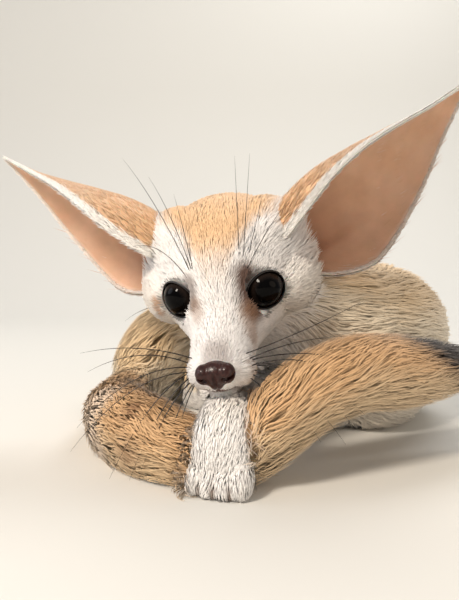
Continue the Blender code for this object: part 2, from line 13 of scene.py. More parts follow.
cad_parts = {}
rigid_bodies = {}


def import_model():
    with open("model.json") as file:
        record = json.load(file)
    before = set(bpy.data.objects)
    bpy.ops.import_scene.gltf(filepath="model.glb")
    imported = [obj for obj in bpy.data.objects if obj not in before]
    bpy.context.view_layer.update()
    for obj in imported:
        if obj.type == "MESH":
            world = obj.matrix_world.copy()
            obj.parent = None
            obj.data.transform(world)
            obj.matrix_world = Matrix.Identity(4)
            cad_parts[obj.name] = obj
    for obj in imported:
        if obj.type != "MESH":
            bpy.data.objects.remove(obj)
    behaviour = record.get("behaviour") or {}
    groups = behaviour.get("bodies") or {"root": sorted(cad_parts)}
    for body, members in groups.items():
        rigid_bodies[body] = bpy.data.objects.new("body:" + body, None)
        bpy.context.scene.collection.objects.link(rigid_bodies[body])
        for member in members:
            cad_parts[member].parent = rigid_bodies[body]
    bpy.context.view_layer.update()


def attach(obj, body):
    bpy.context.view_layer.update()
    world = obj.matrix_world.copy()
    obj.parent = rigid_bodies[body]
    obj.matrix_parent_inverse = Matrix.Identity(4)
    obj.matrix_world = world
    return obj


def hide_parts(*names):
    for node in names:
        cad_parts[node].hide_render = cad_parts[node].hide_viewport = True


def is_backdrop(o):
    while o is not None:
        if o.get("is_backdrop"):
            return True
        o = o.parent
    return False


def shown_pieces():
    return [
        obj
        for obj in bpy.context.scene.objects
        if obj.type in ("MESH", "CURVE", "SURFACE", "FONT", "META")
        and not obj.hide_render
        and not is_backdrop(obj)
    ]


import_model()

mm = 0.001
draw = np.random.default_rng(7)

pose = {
    "underEyes": (-75.0, -85.0, 0.0),
    "eyeHeight": 70.0,
    "headTurn": (20.0, -6.5, -10.0),  # pitch, roll and yaw in degrees
}
underEyes = Vector(pose["underEyes"])
headTurn = Euler([math.radians(angle) for angle in pose["headTurn"]]).to_matrix()
headPlace = Matrix.Translation(underEyes + Vector((0, 0, pose["eyeHeight"]))) @ headTurn.to_4x4()
headInverse = headPlace.inverted()


def unit(vectors):
    return vectors / np.maximum(np.linalg.norm(vectors, axis=-1, keepdims=True), 1e-9)


def dot(first, second):
    return np.sum(first * second, axis=-1, keepdims=True)


def rise(value, low, high):  # 0 at low, 1 at high, smooth between
    share = np.clip((value - low) / (high - low), 0.0, 1.0)
    return share * share * (3.0 - 2.0 * share)


def moved(points, matrix):
    turn = np.array(matrix.to_3x3())
    return np.asarray(points) @ turn.T + np.array(matrix.translation)


def mirrored(point, side):
    return np.array([point[0] * side, point[1], point[2]])


def sideName(base, side):
    return base + ("Left" if side > 0 else "Right")


def linear(hexText):
    parts = [int(hexText[i : i + 2], 16) / 255 for i in (1, 3, 5)]
    return np.array([p / 12.92 if p <= 0.04045 else ((p + 0.055) / 1.055) ** 2.4 for p in parts])


def wavering(points, size, seed):  # slow wander of the lie from place to place
    phase = np.random.default_rng(seed).uniform(0, math.tau, 3)
    ways = np.array([(1.0, 0.4, -0.7), (-0.5, 1.1, 0.6), (0.8, -0.9, 1.0)]) / size
    return sum(np.sin(points @ ways[i] * math.tau + phase[i]) for i in range(3)) / 3


def splineThrough(rows, samples):
    rows = np.array(rows, float)
    padded = np.vstack([2 * rows[0] - rows[1], rows, 2 * rows[-1] - rows[-2]])
    place = np.linspace(0, len(rows) - 1, samples)
    cell = np.minimum(place.astype(int), len(rows) - 2)
    u = (place - cell)[:, None]
    a, b, c, d = (padded[cell + i] for i in range(4))
    return 0.5 * (2 * b + (c - a) * u + (2 * a - 5 * b + 4 * c - d) * u**2 + (3 * b - a - 3 * c + d) * u**3)


# selecting and modifiers


def deselectAll():
    for obj in bpy.context.scene.objects:
        obj.select_set(False)


def makeActive(obj):
    deselectAll()
    obj.select_set(True)
    bpy.context.view_layer.objects.active = obj


def applyModifier(obj, kind, **settings):
    makeActive(obj)
    step = obj.modifiers.new(kind.lower(), kind)
    for name, value in settings.items():
        setattr(step, name, value)
    bpy.ops.object.modifier_apply(modifier=step.name)


def meshPiece(name, points, faces):
    mesh = bpy.data.meshes.new(name)
    mesh.from_pydata((np.asarray(points) * mm).tolist(), [], faces)
    mesh.shade_smooth()
    obj = bpy.data.objects.new(name, mesh)
    bpy.context.scene.collection.objects.link(obj)
    return obj


def joinAll(name, objects):
    deselectAll()
    for obj in objects:
        obj.select_set(True)
    bpy.context.view_layer.objects.active = objects[0]
    bpy.ops.object.join()
    joined = bpy.context.view_layer.objects.active
    joined.name = joined.data.name = name
    return joined


def copyOf(obj, name):
    copy = obj.copy()
    copy.data = obj.data.copy()
    copy.name = copy.data.name = name
    bpy.context.scene.collection.objects.link(copy)
    return copy


def facesOut(obj):
    makeActive(obj)
    bpy.ops.object.mode_set(mode="EDIT")
    bpy.ops.mesh.select_all(action="SELECT")
    bpy.ops.mesh.remove_doubles(threshold=0.000002)
    bpy.ops.mesh.normals_make_consistent(inside=False)
    bpy.ops.object.mode_set(mode="OBJECT")


def ball(centre, radii, turn=None, segments=40):
    deselectAll()
    bpy.ops.mesh.primitive_uv_sphere_add(segments=segments, ring_count=segments // 2, radius=mm)
    obj = bpy.context.active_object
    turn = Matrix.Identity(4) if turn is None else turn.to_4x4()
    obj.data.transform(Matrix.Translation(Vector(centre) * mm) @ turn @ Matrix.Diagonal((*radii, 1.0)))
    obj.data.shade_smooth()
    return obj


def headBall(centre, radii, side=1, segments=40):
    return ball(headPlace @ Vector(mirrored(centre, side)), radii, headTurn, segments)


def pointsOf(obj):
    found = np.empty(len(obj.data.vertices) * 3)
    obj.data.vertices.foreach_get("co", found)
    return found.reshape(-1, 3) / mm


def setPoints(obj, points):
    obj.data.vertices.foreach_set("co", (points * mm).ravel())
    obj.data.update()


def paint(obj, colours, name="tint"):
    layer = obj.data.attributes.new(name, "FLOAT_COLOR", "POINT")
    opaque = np.column_stack([colours, np.ones(len(colours))])
    layer.data.foreach_set("color", opaque.astype(np.float32).ravel())


# the body's forms

skull = {
    # distance back from the eyes, height, half width, rise above and fall below
    "rows": [
        (-40.0, -17.5, 4.0, 4.5, 5.0),
        (-37.5, -17.5, 7.5, 6.5, 7.0),
        (-32.0, -17.5, 10.5, 8.5, 9.0),
        (-26.0, -17.0, 12.0, 10.5, 10.5),
        (-18.0, -15.5, 13.0, 12.5, 12.5),
        (-9.0, -13.0, 15.5, 16.5, 16.5),
        (0.0, -9.0, 22.5, 23.5, 21.0),
        (10.0, -4.0, 30.5, 31.0, 23.5),
        (22.0, 0.0, 35.5, 34.5, 24.0),
        (34.0, 2.0, 35.5, 34.0, 25.0),
        (46.0, 2.0, 30.0, 28.0, 24.0),
        (56.0, 1.0, 16.0, 17.0, 18.0),
    ],
    "chin": ((0.0, -26.0, -26.5), (7.0, 10.0, 4.0)),
    "pairs": [
        ((24.5, 18.0, -2.0), (14.5, 19.0, 15.0)),  # cheek
        ((17.0, 18.0, 17.0), (14.0, 15.0, 13.0)),  # brow
        ((19.0, 25.0, 22.0), (13.0, 14.0, 12.0)),  # crest between the ears
        ((6.5, -28.0, -19.5), (7.0, 9.0, 7.5)),  # whisker pad
    ],
    # distance back, depth of the coat
    "coatAt": ([-40.0, -20.0, 5.0, 30.0, 56.0], [0.4, 0.7, 1.2, 2.0, 3.5]),
}
# each row of a length of body: x, y, height, half width, rise, fall
body = {
    "neck": [
        (6, 30, 69, 28, 28, 28),
        (20, 40, 64, 30, 29, 30),
        (38, 50, 57, 34, 32, 34),
        (56, 58, 50, 38, 35, 38),
    ],
    "trunk": [
        (38, 36, 38, 20, 20, 24),
        (50, 46, 43, 33, 32, 40),
        (68, 63, 45, 41, 38, 47),
        (82, 92, 45, 44, 40, 48),
        (75, 124, 44, 43, 39, 47),
        (44, 146, 42, 41, 37, 45),
        (4, 148, 40, 40, 35, 44),
        (-28, 130, 35, 34, 29, 39),
        (-44, 106, 26, 24, 21, 31),
        (-50, 84, 18, 13, 13, 20),
    ],
    "tail": [
        (-43, 107, 24, 12, 13, 20),
        (-50, 84, 17, 12, 12, 18),
        (-53, 58, 14, 14, 12, 16),
        (-50, 32, 15, 16, 14, 17),
        (-42, 6, 16, 17, 15.5, 17),
        (-24, -17, 15, 16, 14, 17),
        (-1, -27, 12, 14, 10, 13),
        (16, -28, 22, 15, 13, 17),
        (32, -23, 33, 16, 15, 16),
        (52, -14, 39, 17, 16, 16),
        (72, -3, 38, 17, 16, 16),
        (94, 10, 37, 14, 13, 13),
        (112, 21, 38, 9, 8, 8),
        (120, 26, 39, 2, 2, 2),
    ],
}
legs = {
    "frontLeft": [
        (36, 46, 20, 13, 14, 13),
        (22, 26, 23, 11, 10, 10),
        (10, 4, 26, 10, 7.5, 7.5),
        (4, -14, 27, 10.5, 7, 7),
        (2, -28, 25, 11, 8, 7),
        (0, -36, 17, 12, 8, 7),
        (-1, -39, 9, 11.5, 6, 6),
    ],
    "frontRight": [
        (58, 56, 16, 13, 14, 16),
        (40, 52, 12, 10, 10, 12),
        (20, 42, 9, 9, 8, 10),
        (4, 32, 7, 10, 6.5, 8),
        (-6, 25, 6, 10, 5.5, 7),
    ],
    "hindLeft": [
        (-44, 164, 12, 8, 10, 12),
        (-24, 174, 8, 9, 8, 9),
        (6, 185, 7, 9.5, 7, 8),
        (30, 191, 6, 11, 6, 7),
    ],
    "hindRight": [
        (-20, 98, 10, 7, 9, 11),
        (-6, 88, 8, 8, 8, 9),
        (12, 76, 7, 9, 7, 8),
        (24, 67, 6, 10, 6, 7),
    ],
}
haunches = [  # place, half sizes and heading in degrees of thighs and shanks
    ((-12, 159, 33), (47, 31, 37), 14),
    ((10, 108, 30), (32, 20, 29), -24),
    ((-34, 162, 20), (24, 18, 20), 14),
    ((-8, 100, 17), (20, 12, 15), -30),
]
coatDepth = {"neck": 5.0, "trunk": 6.5, "tail": 5.5, "leg": 1.3, "haunch": 3.0}
toe = {"radii": (4.4, 7.5, 5.4), "apart": 5.6, "reach": 5.5, "drawnBack": 1.6, "coatShare": 0.6}
eye = {
    "radius": 9.2,
    "centre": (16.2, 1.8, 1.0),
    "gaze": (0.42, -0.90, 0.05),
    "halfWide": 60.0,
    "halfHigh": 53.0,
    "slant": 0.12,
    "lidThick": 1.0,
}


def sectionsOf(rows, samples):
    found = splineThrough(rows, samples)
    centre = found[:, :3]
    ahead = unit(np.gradient(centre, axis=0))
    side = unit(np.cross(ahead, np.array([0.0, 0.0, 1.0])))
    top = np.cross(side, ahead)
    return {"centre": centre, "ahead": ahead, "side": side, "top": top, "sizes": found[:, 3:6]}


def tubeFaces(rings, sides, first=0):
    faces = [
        tuple(first + k for k in range(sides))[::-1],
        tuple(first + (rings - 1) * sides + k for k in range(sides)),
    ]
    for i in range(rings - 1):
        low, high = first + i * sides, first + (i + 1) * sides
        for k in range(sides):
            n = (k + 1) % sides
            faces.append((low + k, low + n, high + n, high + k))
    return faces


def loft(name, rows, samples, sides):
    cut = sectionsOf(rows, samples)
    angle = np.linspace(0, math.tau, sides, endpoint=False)
    across, upward = np.cos(angle)[None, :, None], np.sin(angle)[None, :, None]
    tall = np.where(upward > 0, cut["sizes"][:, 1, None, None], cut["sizes"][:, 2, None, None])
    wide = cut["sizes"][:, 0, None, None] * across
    points = cut["centre"][:, None] + cut["side"][:, None] * wide + cut["top"][:, None] * tall * upward
    return meshPiece(name, points.reshape(-1, 3), tubeFaces(samples, sides))


def onFloor(rows, depth):  # a body table in the part's own frame, drawn in by the coat
    found = []
    for x, y, height, wide, above, below in rows:
        under = below if below >= height - 0.5 else below - depth
        sizes = (max(wide - depth, 1.0), max(above - depth, 1.0), max(under, 1.0))
        found.append((x + underEyes.x, y + underEyes.y, height, *sizes))
    return found


def headRows():  # the skull's rows, drawn in by the coat
    found = []
    for back, height, wide, above, below in skull["rows"]:
        depth = np.interp(back, *skull["coatAt"])
        found.append((0.0, back, height, wide - depth, above - depth, below - depth))
    return found


def headForms():
    forms = [loft("skull", headRows(), 60, 56)]
    for step in (Matrix.Scale(1 / mm, 4), headPlace, Matrix.Scale(mm, 4)):
        forms[0].data.transform(step)
    forms.append(headBall(*skull["chin"]))
    lid = eye["radius"] + eye["lidThick"]
    for side in (-1, 1):
        for centre, radii in skull["pairs"]:
            depth = np.interp(centre[1], *skull["coatAt"])
            forms.append(headBall(centre, [size - depth for size in radii], side))
        forms.append(headBall(eye["centre"], (lid, lid, lid), side))
    return forms


def toeBalls(rows):
    last, before = Vector(rows[-1][:3]), Vector(rows[-2][:3])
    ahead = (last - before).normalized()
    side = ahead.cross(Vector((0, 0, 1))).normalized()
    turn = Vector((0, 1, 0)).rotation_difference(ahead).to_matrix()
    made = []
    for place in (-1.5, -0.5, 0.5, 1.5):
        reach = toe["reach"] - toe["drawnBack"] * abs(place)
        centre = last + underEyes + side * (place * toe["apart"]) + ahead * reach
        made.append({"centre": centre, "ahead": ahead, "turn": turn})
    return made


def legForms(name, rows):
    depth = coatDepth["leg"]
    forms = [loft(name, onFloor(rows, depth), 40, 36)]
    radii = [size - depth * toe["coatShare"] for size in toe["radii"]]
    return forms + [ball(found["centre"], radii, found["turn"], 28) for found in toeBalls(rows)]


print("forms of head, trunk, tail and legs")
forms = headForms()
for name, rows in body.items():
    forms.append(loft(name, onFloor(rows, coatDepth[name]), 90, 60))
for name, rows in legs.items():
    forms += legForms(name, rows)
for centre, radii, heading in haunches:
    turn = Matrix.Rotation(math.radians(heading), 3, "Z")
    forms.append(ball(Vector(centre) + underEyes, [size - coatDepth["haunch"] for size in radii], turn))

# one skin

skinSettings = {"cell": 1.0, "smoothing": 5, "triangles": 150000, "floorGap": 0.4, "guideTriangles": 60000}

skin = joinAll("skin", forms)
applyModifier(skin, "REMESH", mode="VOXEL", voxel_size=skinSettings["cell"] * mm)
applyModifier(skin, "SMOOTH", factor=0.5, iterations=skinSettings["smoothing"])
places = pointsOf(skin)
places[:, 2] = np.maximum(places[:, 2], skinSettings["floorGap"])
setPoints(skin, places)
applyModifier(skin, "TRIANGULATE")
skinShare = skinSettings["triangles"] / len(skin.data.polygons)
print("skin", len(skin.data.polygons), "triangles before thinning")

# the coat is laid out on a coarser copy, which also holds the unwrap of the skin's shape
lay = copyOf(skin, "layOut")
applyModifier(lay, "DECIMATE", ratio=skinSettings["guideTriangles"] / len(lay.data.polygons))
applyModifier(lay, "TRIANGULATE")
makeActive(lay)
bpy.ops.object.mode_set(mode="EDIT")
bpy.ops.mesh.select_all(action="SELECT")
bpy.ops.uv.smart_project(angle_limit=math.radians(66), island_margin=0.002)
bpy.ops.object.mode_set(mode="OBJECT")
applyModifier(skin, "DECIMATE", ratio=min(1.0, skinShare))

layPoints = pointsOf(lay)
layCount = len(lay.data.polygons)
layFaces = np.empty(layCount * 3, int)
lay.data.polygons.foreach_get("vertices", layFaces)
layFaces = layFaces.reshape(-1, 3)
layNormals = np.empty(len(lay.data.vertices) * 3)
lay.data.vertices.foreach_get("normal", layNormals)
layNormals = layNormals.reshape(-1, 3)
layUv = np.empty(layCount * 6)
lay.data.uv_layers.active.data.foreach_get("uv", layUv)
layUv = layUv.reshape(-1, 3, 2)
layTree = BVHTree.FromPolygons(layPoints.tolist(), layFaces.tolist())
bpy.data.objects.remove(lay)
print("lay-out of the coat on", layCount, "triangles")


def onSkin(points):  # nearest places on the skin and the way out of it there
    found = [layTree.find_nearest(point) for point in points.tolist()]
    near = np.array([hit[0] for hit in found])
    face = layFaces[[hit[2] for hit in found]]
    a, b, c = (layPoints[face[:, i]] for i in range(3))
    whole = np.cross(b - a, c - a)
    size = np.maximum(dot(whole, whole), 1e-9)
    second = dot(np.cross(near - a, c - a), whole) / size
    third = dot(np.cross(b - a, near - a), whole) / size
    shares = (1 - second - third, second, third)
    return near, unit(sum(share * layNormals[face[:, i]] for i, share in enumerate(shares)))


# which length of body a place is on, and the lie of the coat there

guideSamples = 60


def guideOf(kind, rows, depth):
    found = sectionsOf(onFloor(rows, depth), guideSamples)
    size = found["sizes"].mean(1)
    return {"kind": kind, "centre": found["centre"], "ahead": found["ahead"], "size": size}


guides = [guideOf(name, rows, coatDepth[name]) for name, rows in body.items()]
guides += [guideOf("leg", rows, coatDepth["leg"]) for rows in legs.values()]
kinds = ["head", "neck", "trunk", "tail", "leg", "haunch"]
tailKind, legKind = kinds.index("tail"), kinds.index("leg")
# how sharply one kind of coat gives way to the next, and how far the head's runs on over the neck
blend = {"soft": 9.0, "tailToLeg": 30.0, "headFirst": 0.9}
noseTip = np.array([0.0, -42.0, -12.0])


def nearestOf(points, guide, batch=20000):
    best = np.empty(len(points), int)
    far = np.empty(len(points))
    for start in range(0, len(points), batch):
        part = slice(start, start + batch)
        apart = np.linalg.norm(points[part, None] - guide["centre"][None], axis=2) / guide["size"][None]
        best[part], far[part] = apart.argmin(1), apart.min(1)
    return best, far


def bodyAt(points):
    # Shares of each kind of coat, heading of the coat and how far along its length each place is.
    count = len(points)
    inHead = moved(points, headInverse)
    far = {kind: np.full(count, 9.0) for kind in kinds}
    heading = {kind: np.zeros((count, 3)) for kind in kinds}
    along = np.zeros(count)
    for guide in guides:
        best, distance = nearestOf(points, guide)
        closer = distance < far[guide["kind"]]
        far[guide["kind"]][closer] = distance[closer]
        heading[guide["kind"]][closer] = guide["ahead"][best[closer]]
        if guide["kind"] == "tail":
            along = best / (guideSamples - 1)
    skullRows = splineThrough(headRows(), guideSamples)
    apart = np.linalg.norm(inHead[:, None] - skullRows[None, :, :3], axis=2)
    far["head"] = (apart / skullRows[None, :, 3:6].mean(2)).min(1) * blend["headFirst"]
    outward = unit(inHead - noseTip) + np.array([0.0, 0.25, 0.0])
    heading["head"] = unit(outward) @ np.array(headTurn).T
    for centre, radii, degrees in haunches[:2]:  # the thighs
        turn = Matrix.Rotation(math.radians(-degrees), 3, "Z")
        local = (points - np.array(Vector(centre) + underEyes)) @ np.array(turn).T
        distance = np.linalg.norm(local / (np.array(radii) - coatDepth["haunch"]), axis=1)
        closer = distance < far["haunch"]
        far["haunch"][closer] = distance[closer]
    heading["haunch"] = unit(heading["trunk"] * 0.7 + np.array([0.0, 0.0, -0.6]))
    apart = np.array([far[kind] for kind in kinds])
    nearest = apart.argmin(0)
    steep = np.full(apart.shape, blend["soft"])
    steep[tailKind][nearest == legKind] = steep[legKind][nearest == tailKind] = blend["tailToLeg"]
    shares = np.exp(-steep * (apart - apart.min(0)))
    shares /= shares.sum(0)
    flow = sum(shares[i][:, None] * heading[kind] for i, kind in enumerate(kinds))
    return {"shares": shares, "flow": unit(flow), "along": along, "inHead": inHead}


# markings, the same for skin and coat

coatColours = {
    "white": "#f3efec",
    "grey": "#a89d98",
    "crown": "#e7be92",
    "corner": "#4f2e1c",
    "smear": "#9c7456",
    "lid": "#1c120d",
    "outerSpot": "#b07c4c",
    "cream": "#efdfc4",
    "sandy": "#e3c499",
    "pale": "#f0e6d6",
    "tail": "#d8ae80",
    "tailLow": "#dfc39d",
    "patch": "#6f4328",
    "tip": "#24160e",
    "paw": "#f6f2ee",
    # painted shade between the toes, and the real dark dots where the whiskers grow
    "cleft": "#6f5645",
    "bend": "#ead5bf",
    "lips": "#6b4a40",
}
ink = {name: linear(value) for name, value in coatColours.items()}


def washed(base, over, mask):
    return base + (over - base) * mask[:, None]


def segmentDistance(points, first, second):
    first, second = np.array(first, float), np.array(second, float)
    way = second - first
    share = np.clip(((points - first) @ way) / (way @ way), 0, 1)
    return np.linalg.norm(points - first - share[:, None] * way, axis=1)


# rows of dots where the whiskers grow: place back and up of the first, step to the next, where each fades
whiskerDots = {"first": (-32.5, -15.5), "apart": (3.0, -1.8), "radii": (0.35, 0.95)}
face = {
    # height above the eyes and half width of the tan between the brows
    "blazeEdge": ([2, 12, 17, 23, 27, 33, 38], [3.0, 4.0, 6.0, 11, 18, 28, 42]),
    # side, ends of the stain at the inner corner, its strength, reach and colour
    "corners": [
        (1, ((11.2, -8.2, 8.5), (12.0, -11.4, -4.0)), 0.95, 8.0, "corner"),
        (1, ((10.6, -14.0, -4.5), (12.0, -19.3, -11.5)), 0.60, 6.5, "smear"),
        (-1, ((10.4, -8.8, 8.5), (9.4, -12.4, 0.3)), 0.60, 4.6, "corner"),
        (-1, ((8.6, -12.7, 0.3), (7.6, -15.6, -3.5)), 0.45, 4.6, "smear"),
    ],
    # ends of the tan spot behind the outer corner, and where it fades
    "outerSpot": ((-28.8, 1.7, -1.0), (-27.8, 1.8, -5.5)),
    "outerFade": (0.5, 3.2),
}
mouthLine = [
    (0.0, -40.5, -23.0),
    (4.5, -37.0, -24.5),
    (9.0, -30.0, -25.0),
    (12.5, -19.0, -24.5),
    (14.5, -9.0, -22.0),
]
mouthHalves = [splineThrough([mirrored(point, side) for point in mouthLine], 24) for side in (-1, 1)]


def lidRatio(inHead, side):  # 1 on the edge of the lids, less between them
    away = inHead - mirrored(eye["centre"], side)
    ahead, wide, high = (away @ np.array(way) for way in (gazeWay[side], acrossWay[side], upWay[side]))
    spread, sideways = np.arctan2(np.hypot(wide, high), ahead), np.arctan2(high, wide)
    a, b = math.radians(eye["halfWide"]), math.radians(eye["halfHigh"])
    limit = 1 / np.sqrt((np.cos(sideways) / a) ** 2 + (np.sin(sideways) / b) ** 2)
    return np.where(np.linalg.norm(away, axis=1) < eye["radius"] + 4, spread / limit, 9.0)


def faceMarkings(inHead):
    x, y, z = inHead.T
    wide = np.abs(x)
    colour = np.tile(ink["white"], (len(inHead), 1))
    edge = np.interp(z + 0.15 * np.maximum(y - 8, 0), *face["blazeEdge"])
    strength = 0.62 * rise(z, 2, 9) + 0.38 * rise(z, 12, 26)
    blaze = (1 - rise(wide, 0.65 * edge, 1.35 * edge + 1.5)) * strength * rise(y, -14, -3)
    colour = washed(colour, ink["crown"], np.clip(blaze, 0, 1))
    colour = washed(colour, ink["cream"], rise(y, 22, 46) * (1 - rise(z, 6, 24)) * 0.8)
    cheek = rise(wide, 14, 26) * (1 - rise(z, -4, 14)) * rise(y, -10, 8)
    colour = washed(colour, ink["cream"], 0.4 * cheek)
    bridge = (1 - rise(wide, 2.5, 7)) * (1 - rise(y, -33, -25)) * rise(z, -16, -12)
    colour = washed(colour, ink["grey"], 0.75 * bridge)
    for side, ends, strength, reach, name in face["corners"]:
        gap = segmentDistance(inHead * (side, 1, 1), *ends)
        colour = washed(colour, ink[name], strength * (1 - rise(gap, 0.25 * reach, reach)))
    gap = segmentDistance(inHead, *face["outerSpot"])
    colour = washed(colour, ink["outerSpot"], 0.75 * (1 - rise(gap, *face["outerFade"])))
    away = inHead[:, 1:] - np.array(whiskerDots["first"])
    cell = np.array(whiskerDots["apart"])
    gap = np.linalg.norm(away - cell * np.clip(np.round(away / cell), 0, 3), axis=1)
    colour = washed(colour, ink["cleft"], 0.6 * (1 - rise(gap, *whiskerDots["radii"])) * (wide > 6))
    for side in (-1, 1):
        colour = washed(colour, ink["lid"], 0.75 * (1 - rise(lidRatio(inHead, side), 1.0, 1.07)))
    mouth = np.vstack(mouthHalves)
    gap = np.linalg.norm(inHead[:, None] - mouth[None], axis=2).min(1)
    return washed(colour, ink["lips"], 0.6 * (1 - rise(gap, 0.8, 2.6)))


tailSpots = [
    {"at": (-40.5, -11.0, 22.5), "ink": "patch", "strength": 0.7, "fade": (1.0, 6.0)},
    {"at": (-39.5, -16.0, 12.0), "ink": "patch", "strength": 0.45, "fade": (1.5, 8.0)},
    {"at": (-56.0, 12.0, 19.0), "ink": "bend", "strength": 0.8, "fade": (6.0, 16.0)},
    {"at": (-56.0, 2.0, 6.0), "ink": "bend", "strength": 0.8, "fade": (5.0, 13.0)},
]


# painted shade along the lines between the toes
def paintedToeShadeAt(points):  # the lines between the toes of all four paws
    deepest = np.zeros(len(points))
    for rows in legs.values():
        last, before = np.array(rows[-1][:3], float), np.array(rows[-2][:3], float)
        ahead = unit(last - before)
        side = unit(np.cross(ahead, (0.0, 0.0, 1.0)))
        away = points - last - np.array(underEyes)
        across, reach = away @ side, away @ ahead
        gap = np.abs(across - np.round(across / toe["apart"]) * toe["apart"])
        on = (np.abs(across) < 1.5 * toe["apart"]) & (reach < 16) & (np.linalg.norm(away, axis=1) < 22)
        deepest = np.maximum(deepest, np.exp(-((gap / 1.0) ** 2)) * rise(reach, 1.0, 6.0) * on)
    return deepest


# how far up a place faces where cream turns sandy, the colour below and where that begins
countershade = {
    "neck": ((0.15, 0.75), "white", (-0.5, 0.1)),
    "trunk": ((0.15, 0.75), "pale", (-0.7, 0.0)),
    "haunch": ((0.1, 0.8), "pale", (-0.6, 0.1)),
}


def countershaded(kind, up):
    above, under, below = countershade[kind]
    upper = washed(ink["cream"][None], ink["sandy"], rise(up, *above))
    return washed(upper, ink[under], 1 - rise(up, *below))


def markings(points, normals, found):
    up = normals[:, 2]
    tail = washed(ink["tailLow"][None], ink["tail"], rise(up, -0.5, 0.5))
    for spot in tailSpots:
        gap = np.linalg.norm(points - (np.array(spot["at"]) + np.array(underEyes)), axis=1)
        tail = washed(tail, ink[spot["ink"]], spot["strength"] * (1 - rise(gap, *spot["fade"])))
    tail = washed(tail, ink["tip"], rise(found["along"] + 0.06 * up, 0.755, 0.835))
    leg = washed(np.tile(ink["paw"], (len(points), 1)), ink["cream"], 0.5 * rise(points[:, 2], 24, 40))
    # painted shade in the clefts between the toes
    leg = washed(leg, ink["cleft"], 0.85 * paintedToeShadeAt(points))
    neck, trunk, haunch = (countershaded(kind, up) for kind in ("neck", "trunk", "haunch"))
    colours = [faceMarkings(found["inHead"]), neck, trunk, tail, leg, haunch]
    return sum(share[:, None] * colour for share, colour in zip(found["shares"], colours))


# eyes

# the cornea swells between the two angles, and the colours of the iris run out at the last
eyeballs = {"segments": 72, "bulge": 0.7, "bulgeAngles": (20.0, 50.0), "irisAngle": 62.0}
gazeWay = {side: Vector(mirrored(eye["gaze"], side)).normalized() for side in (-1, 1)}
acrossWay = {side: gazeWay[side].cross(Vector((0, 0, 1))).normalized() * side for side in (-1, 1)}
upWay = {side: acrossWay[side].cross(gazeWay[side]).normalized() * side for side in (-1, 1)}


def lidPoint(side, angle, reach, spreadBy=1.0, corner=0.0):
    # A place on the lids' edge, counted round the eye, at that distance from the eye's middle.
    wide = spreadBy * math.radians(eye["halfWide"]) * math.cos(angle)
    inner = math.exp(-(((math.cos(angle) + 1.0) / 0.16) ** 2))  # the corner towards the nose
    wide *= 1.0 + corner * inner
    high = spreadBy * math.radians(eye["halfHigh"]) * math.sin(angle)
    high -= eye["slant"] * wide + 0.5 * corner * inner
    spread = math.hypot(wide, high)
    sideways = (acrossWay[side] * wide + upWay[side] * high) / spread
    centre = Vector(mirrored(eye["centre"], side))
    return headPlace @ (centre + (gazeWay[side] * math.cos(spread) + sideways * math.sin(spread)) * reach)


def eyeball(side):
    obj = ball((0, 0, 0), (1, 1, 1), segments=eyeballs["segments"])
    local = pointsOf(obj)
    away = np.degrees(np.arccos(np.clip(local[:, 2], -1, 1)))
    swell = eyeballs["bulge"] * (1 - rise(away, *eyeballs["bulgeAngles"]))
    turn = np.array(headTurn) @ np.column_stack([acrossWay[side], upWay[side], gazeWay[side]])
    centre = np.array(headPlace @ Vector(mirrored(eye["centre"], side)))
    setPoints(obj, (local * (eye["radius"] + swell)[:, None]) @ turn.T + centre)
    facesOut(obj)
    middle = pointsOf(obj) - centre
    away = np.degrees(np.arccos(np.clip(unit(middle) @ turn[:, 2], -1, 1)))
    around = np.arctan2(middle @ turn[:, 1], middle @ turn[:, 0])
    ring = (np.cos(around) * 0.5 + 0.5, np.sin(around) * 0.5 + 0.5)
    paint(obj, np.column_stack([away / eyeballs["irisAngle"], *ring]), "irisMap")
    return obj


def lidCutter(side):
    sides, reach = 64, eye["radius"] + 4.0
    angles = [math.tau * k / sides for k in range(sides)]
    rings = [lidPoint(side, angle, reach, share) for share in (1.0, 0.5) for angle in angles]
    centre = headPlace @ Vector(mirrored(eye["centre"], side))
    outer = headPlace @ (Vector(mirrored(eye["centre"], side)) + gazeWay[side] * reach)
    points = [*rings, centre, outer]
    faces = []
    for k in range(sides):
        n = (k + 1) % sides
        faces += [(2 * sides, n, k), (k, n, sides + n, sides + k), (sides + k, sides + n, 2 * sides + 1)]
    obj = meshPiece("lidCutter", np.array(points), faces)
    facesOut(obj)
    return obj


def cutAway(obj, cutter):
    applyModifier(obj, "BOOLEAN", operation="DIFFERENCE", solver="MANIFOLD", object=cutter)
    bpy.data.objects.remove(cutter)


print("eyes and their sockets")
for side in (-1, 1):
    radius = eye["radius"] + eyeballs["bulge"] + 0.1
    cutAway(skin, headBall(eye["centre"], (radius,) * 3, side, 64))
    cutAway(skin, lidCutter(side))
eyePieces = {side: eyeball(side) for side in (-1, 1)}

lidRim = {"sides": 96, "ring": 10, "wide": 0.7, "high": 0.32, "stands": 0.62, "corner": 0.22}


def lidRimOf(side):  # the bare dark edge of both lids, drawn out to a point at the inner corner
    points, faces = [], []
    around, ring = lidRim["sides"], lidRim["ring"]
    centre = headPlace @ Vector(mirrored(eye["centre"], side))
    reach = eye["radius"] + lidRim["stands"]
    path = [lidPoint(side, math.tau * k / around, reach, 1.0, lidRim["corner"]) for k in range(around)]
    for k in range(around):
        here = path[k]
        ahead = (path[(k + 1) % around] - path[k - 1]).normalized()
        out = (here - centre).normalized()
        across = ahead.cross(out).normalized()
        for j in range(ring):
            angle = math.tau * j / ring
            step = across * (lidRim["wide"] * math.cos(angle)) + out * (lidRim["high"] * math.sin(angle))
            points.append(here + step)
    for k in range(around):
        for j in range(ring):
            n, m = (k + 1) % around, (j + 1) % ring
            faces.append((k * ring + j, k * ring + m, n * ring + m, n * ring + j))
    obj = meshPiece(sideName("lidRim", side), np.array(points), faces)
    facesOut(obj)
    return obj


rimPieces = {side: lidRimOf(side) for side in (-1, 1)}

# nose, lips and nostrils

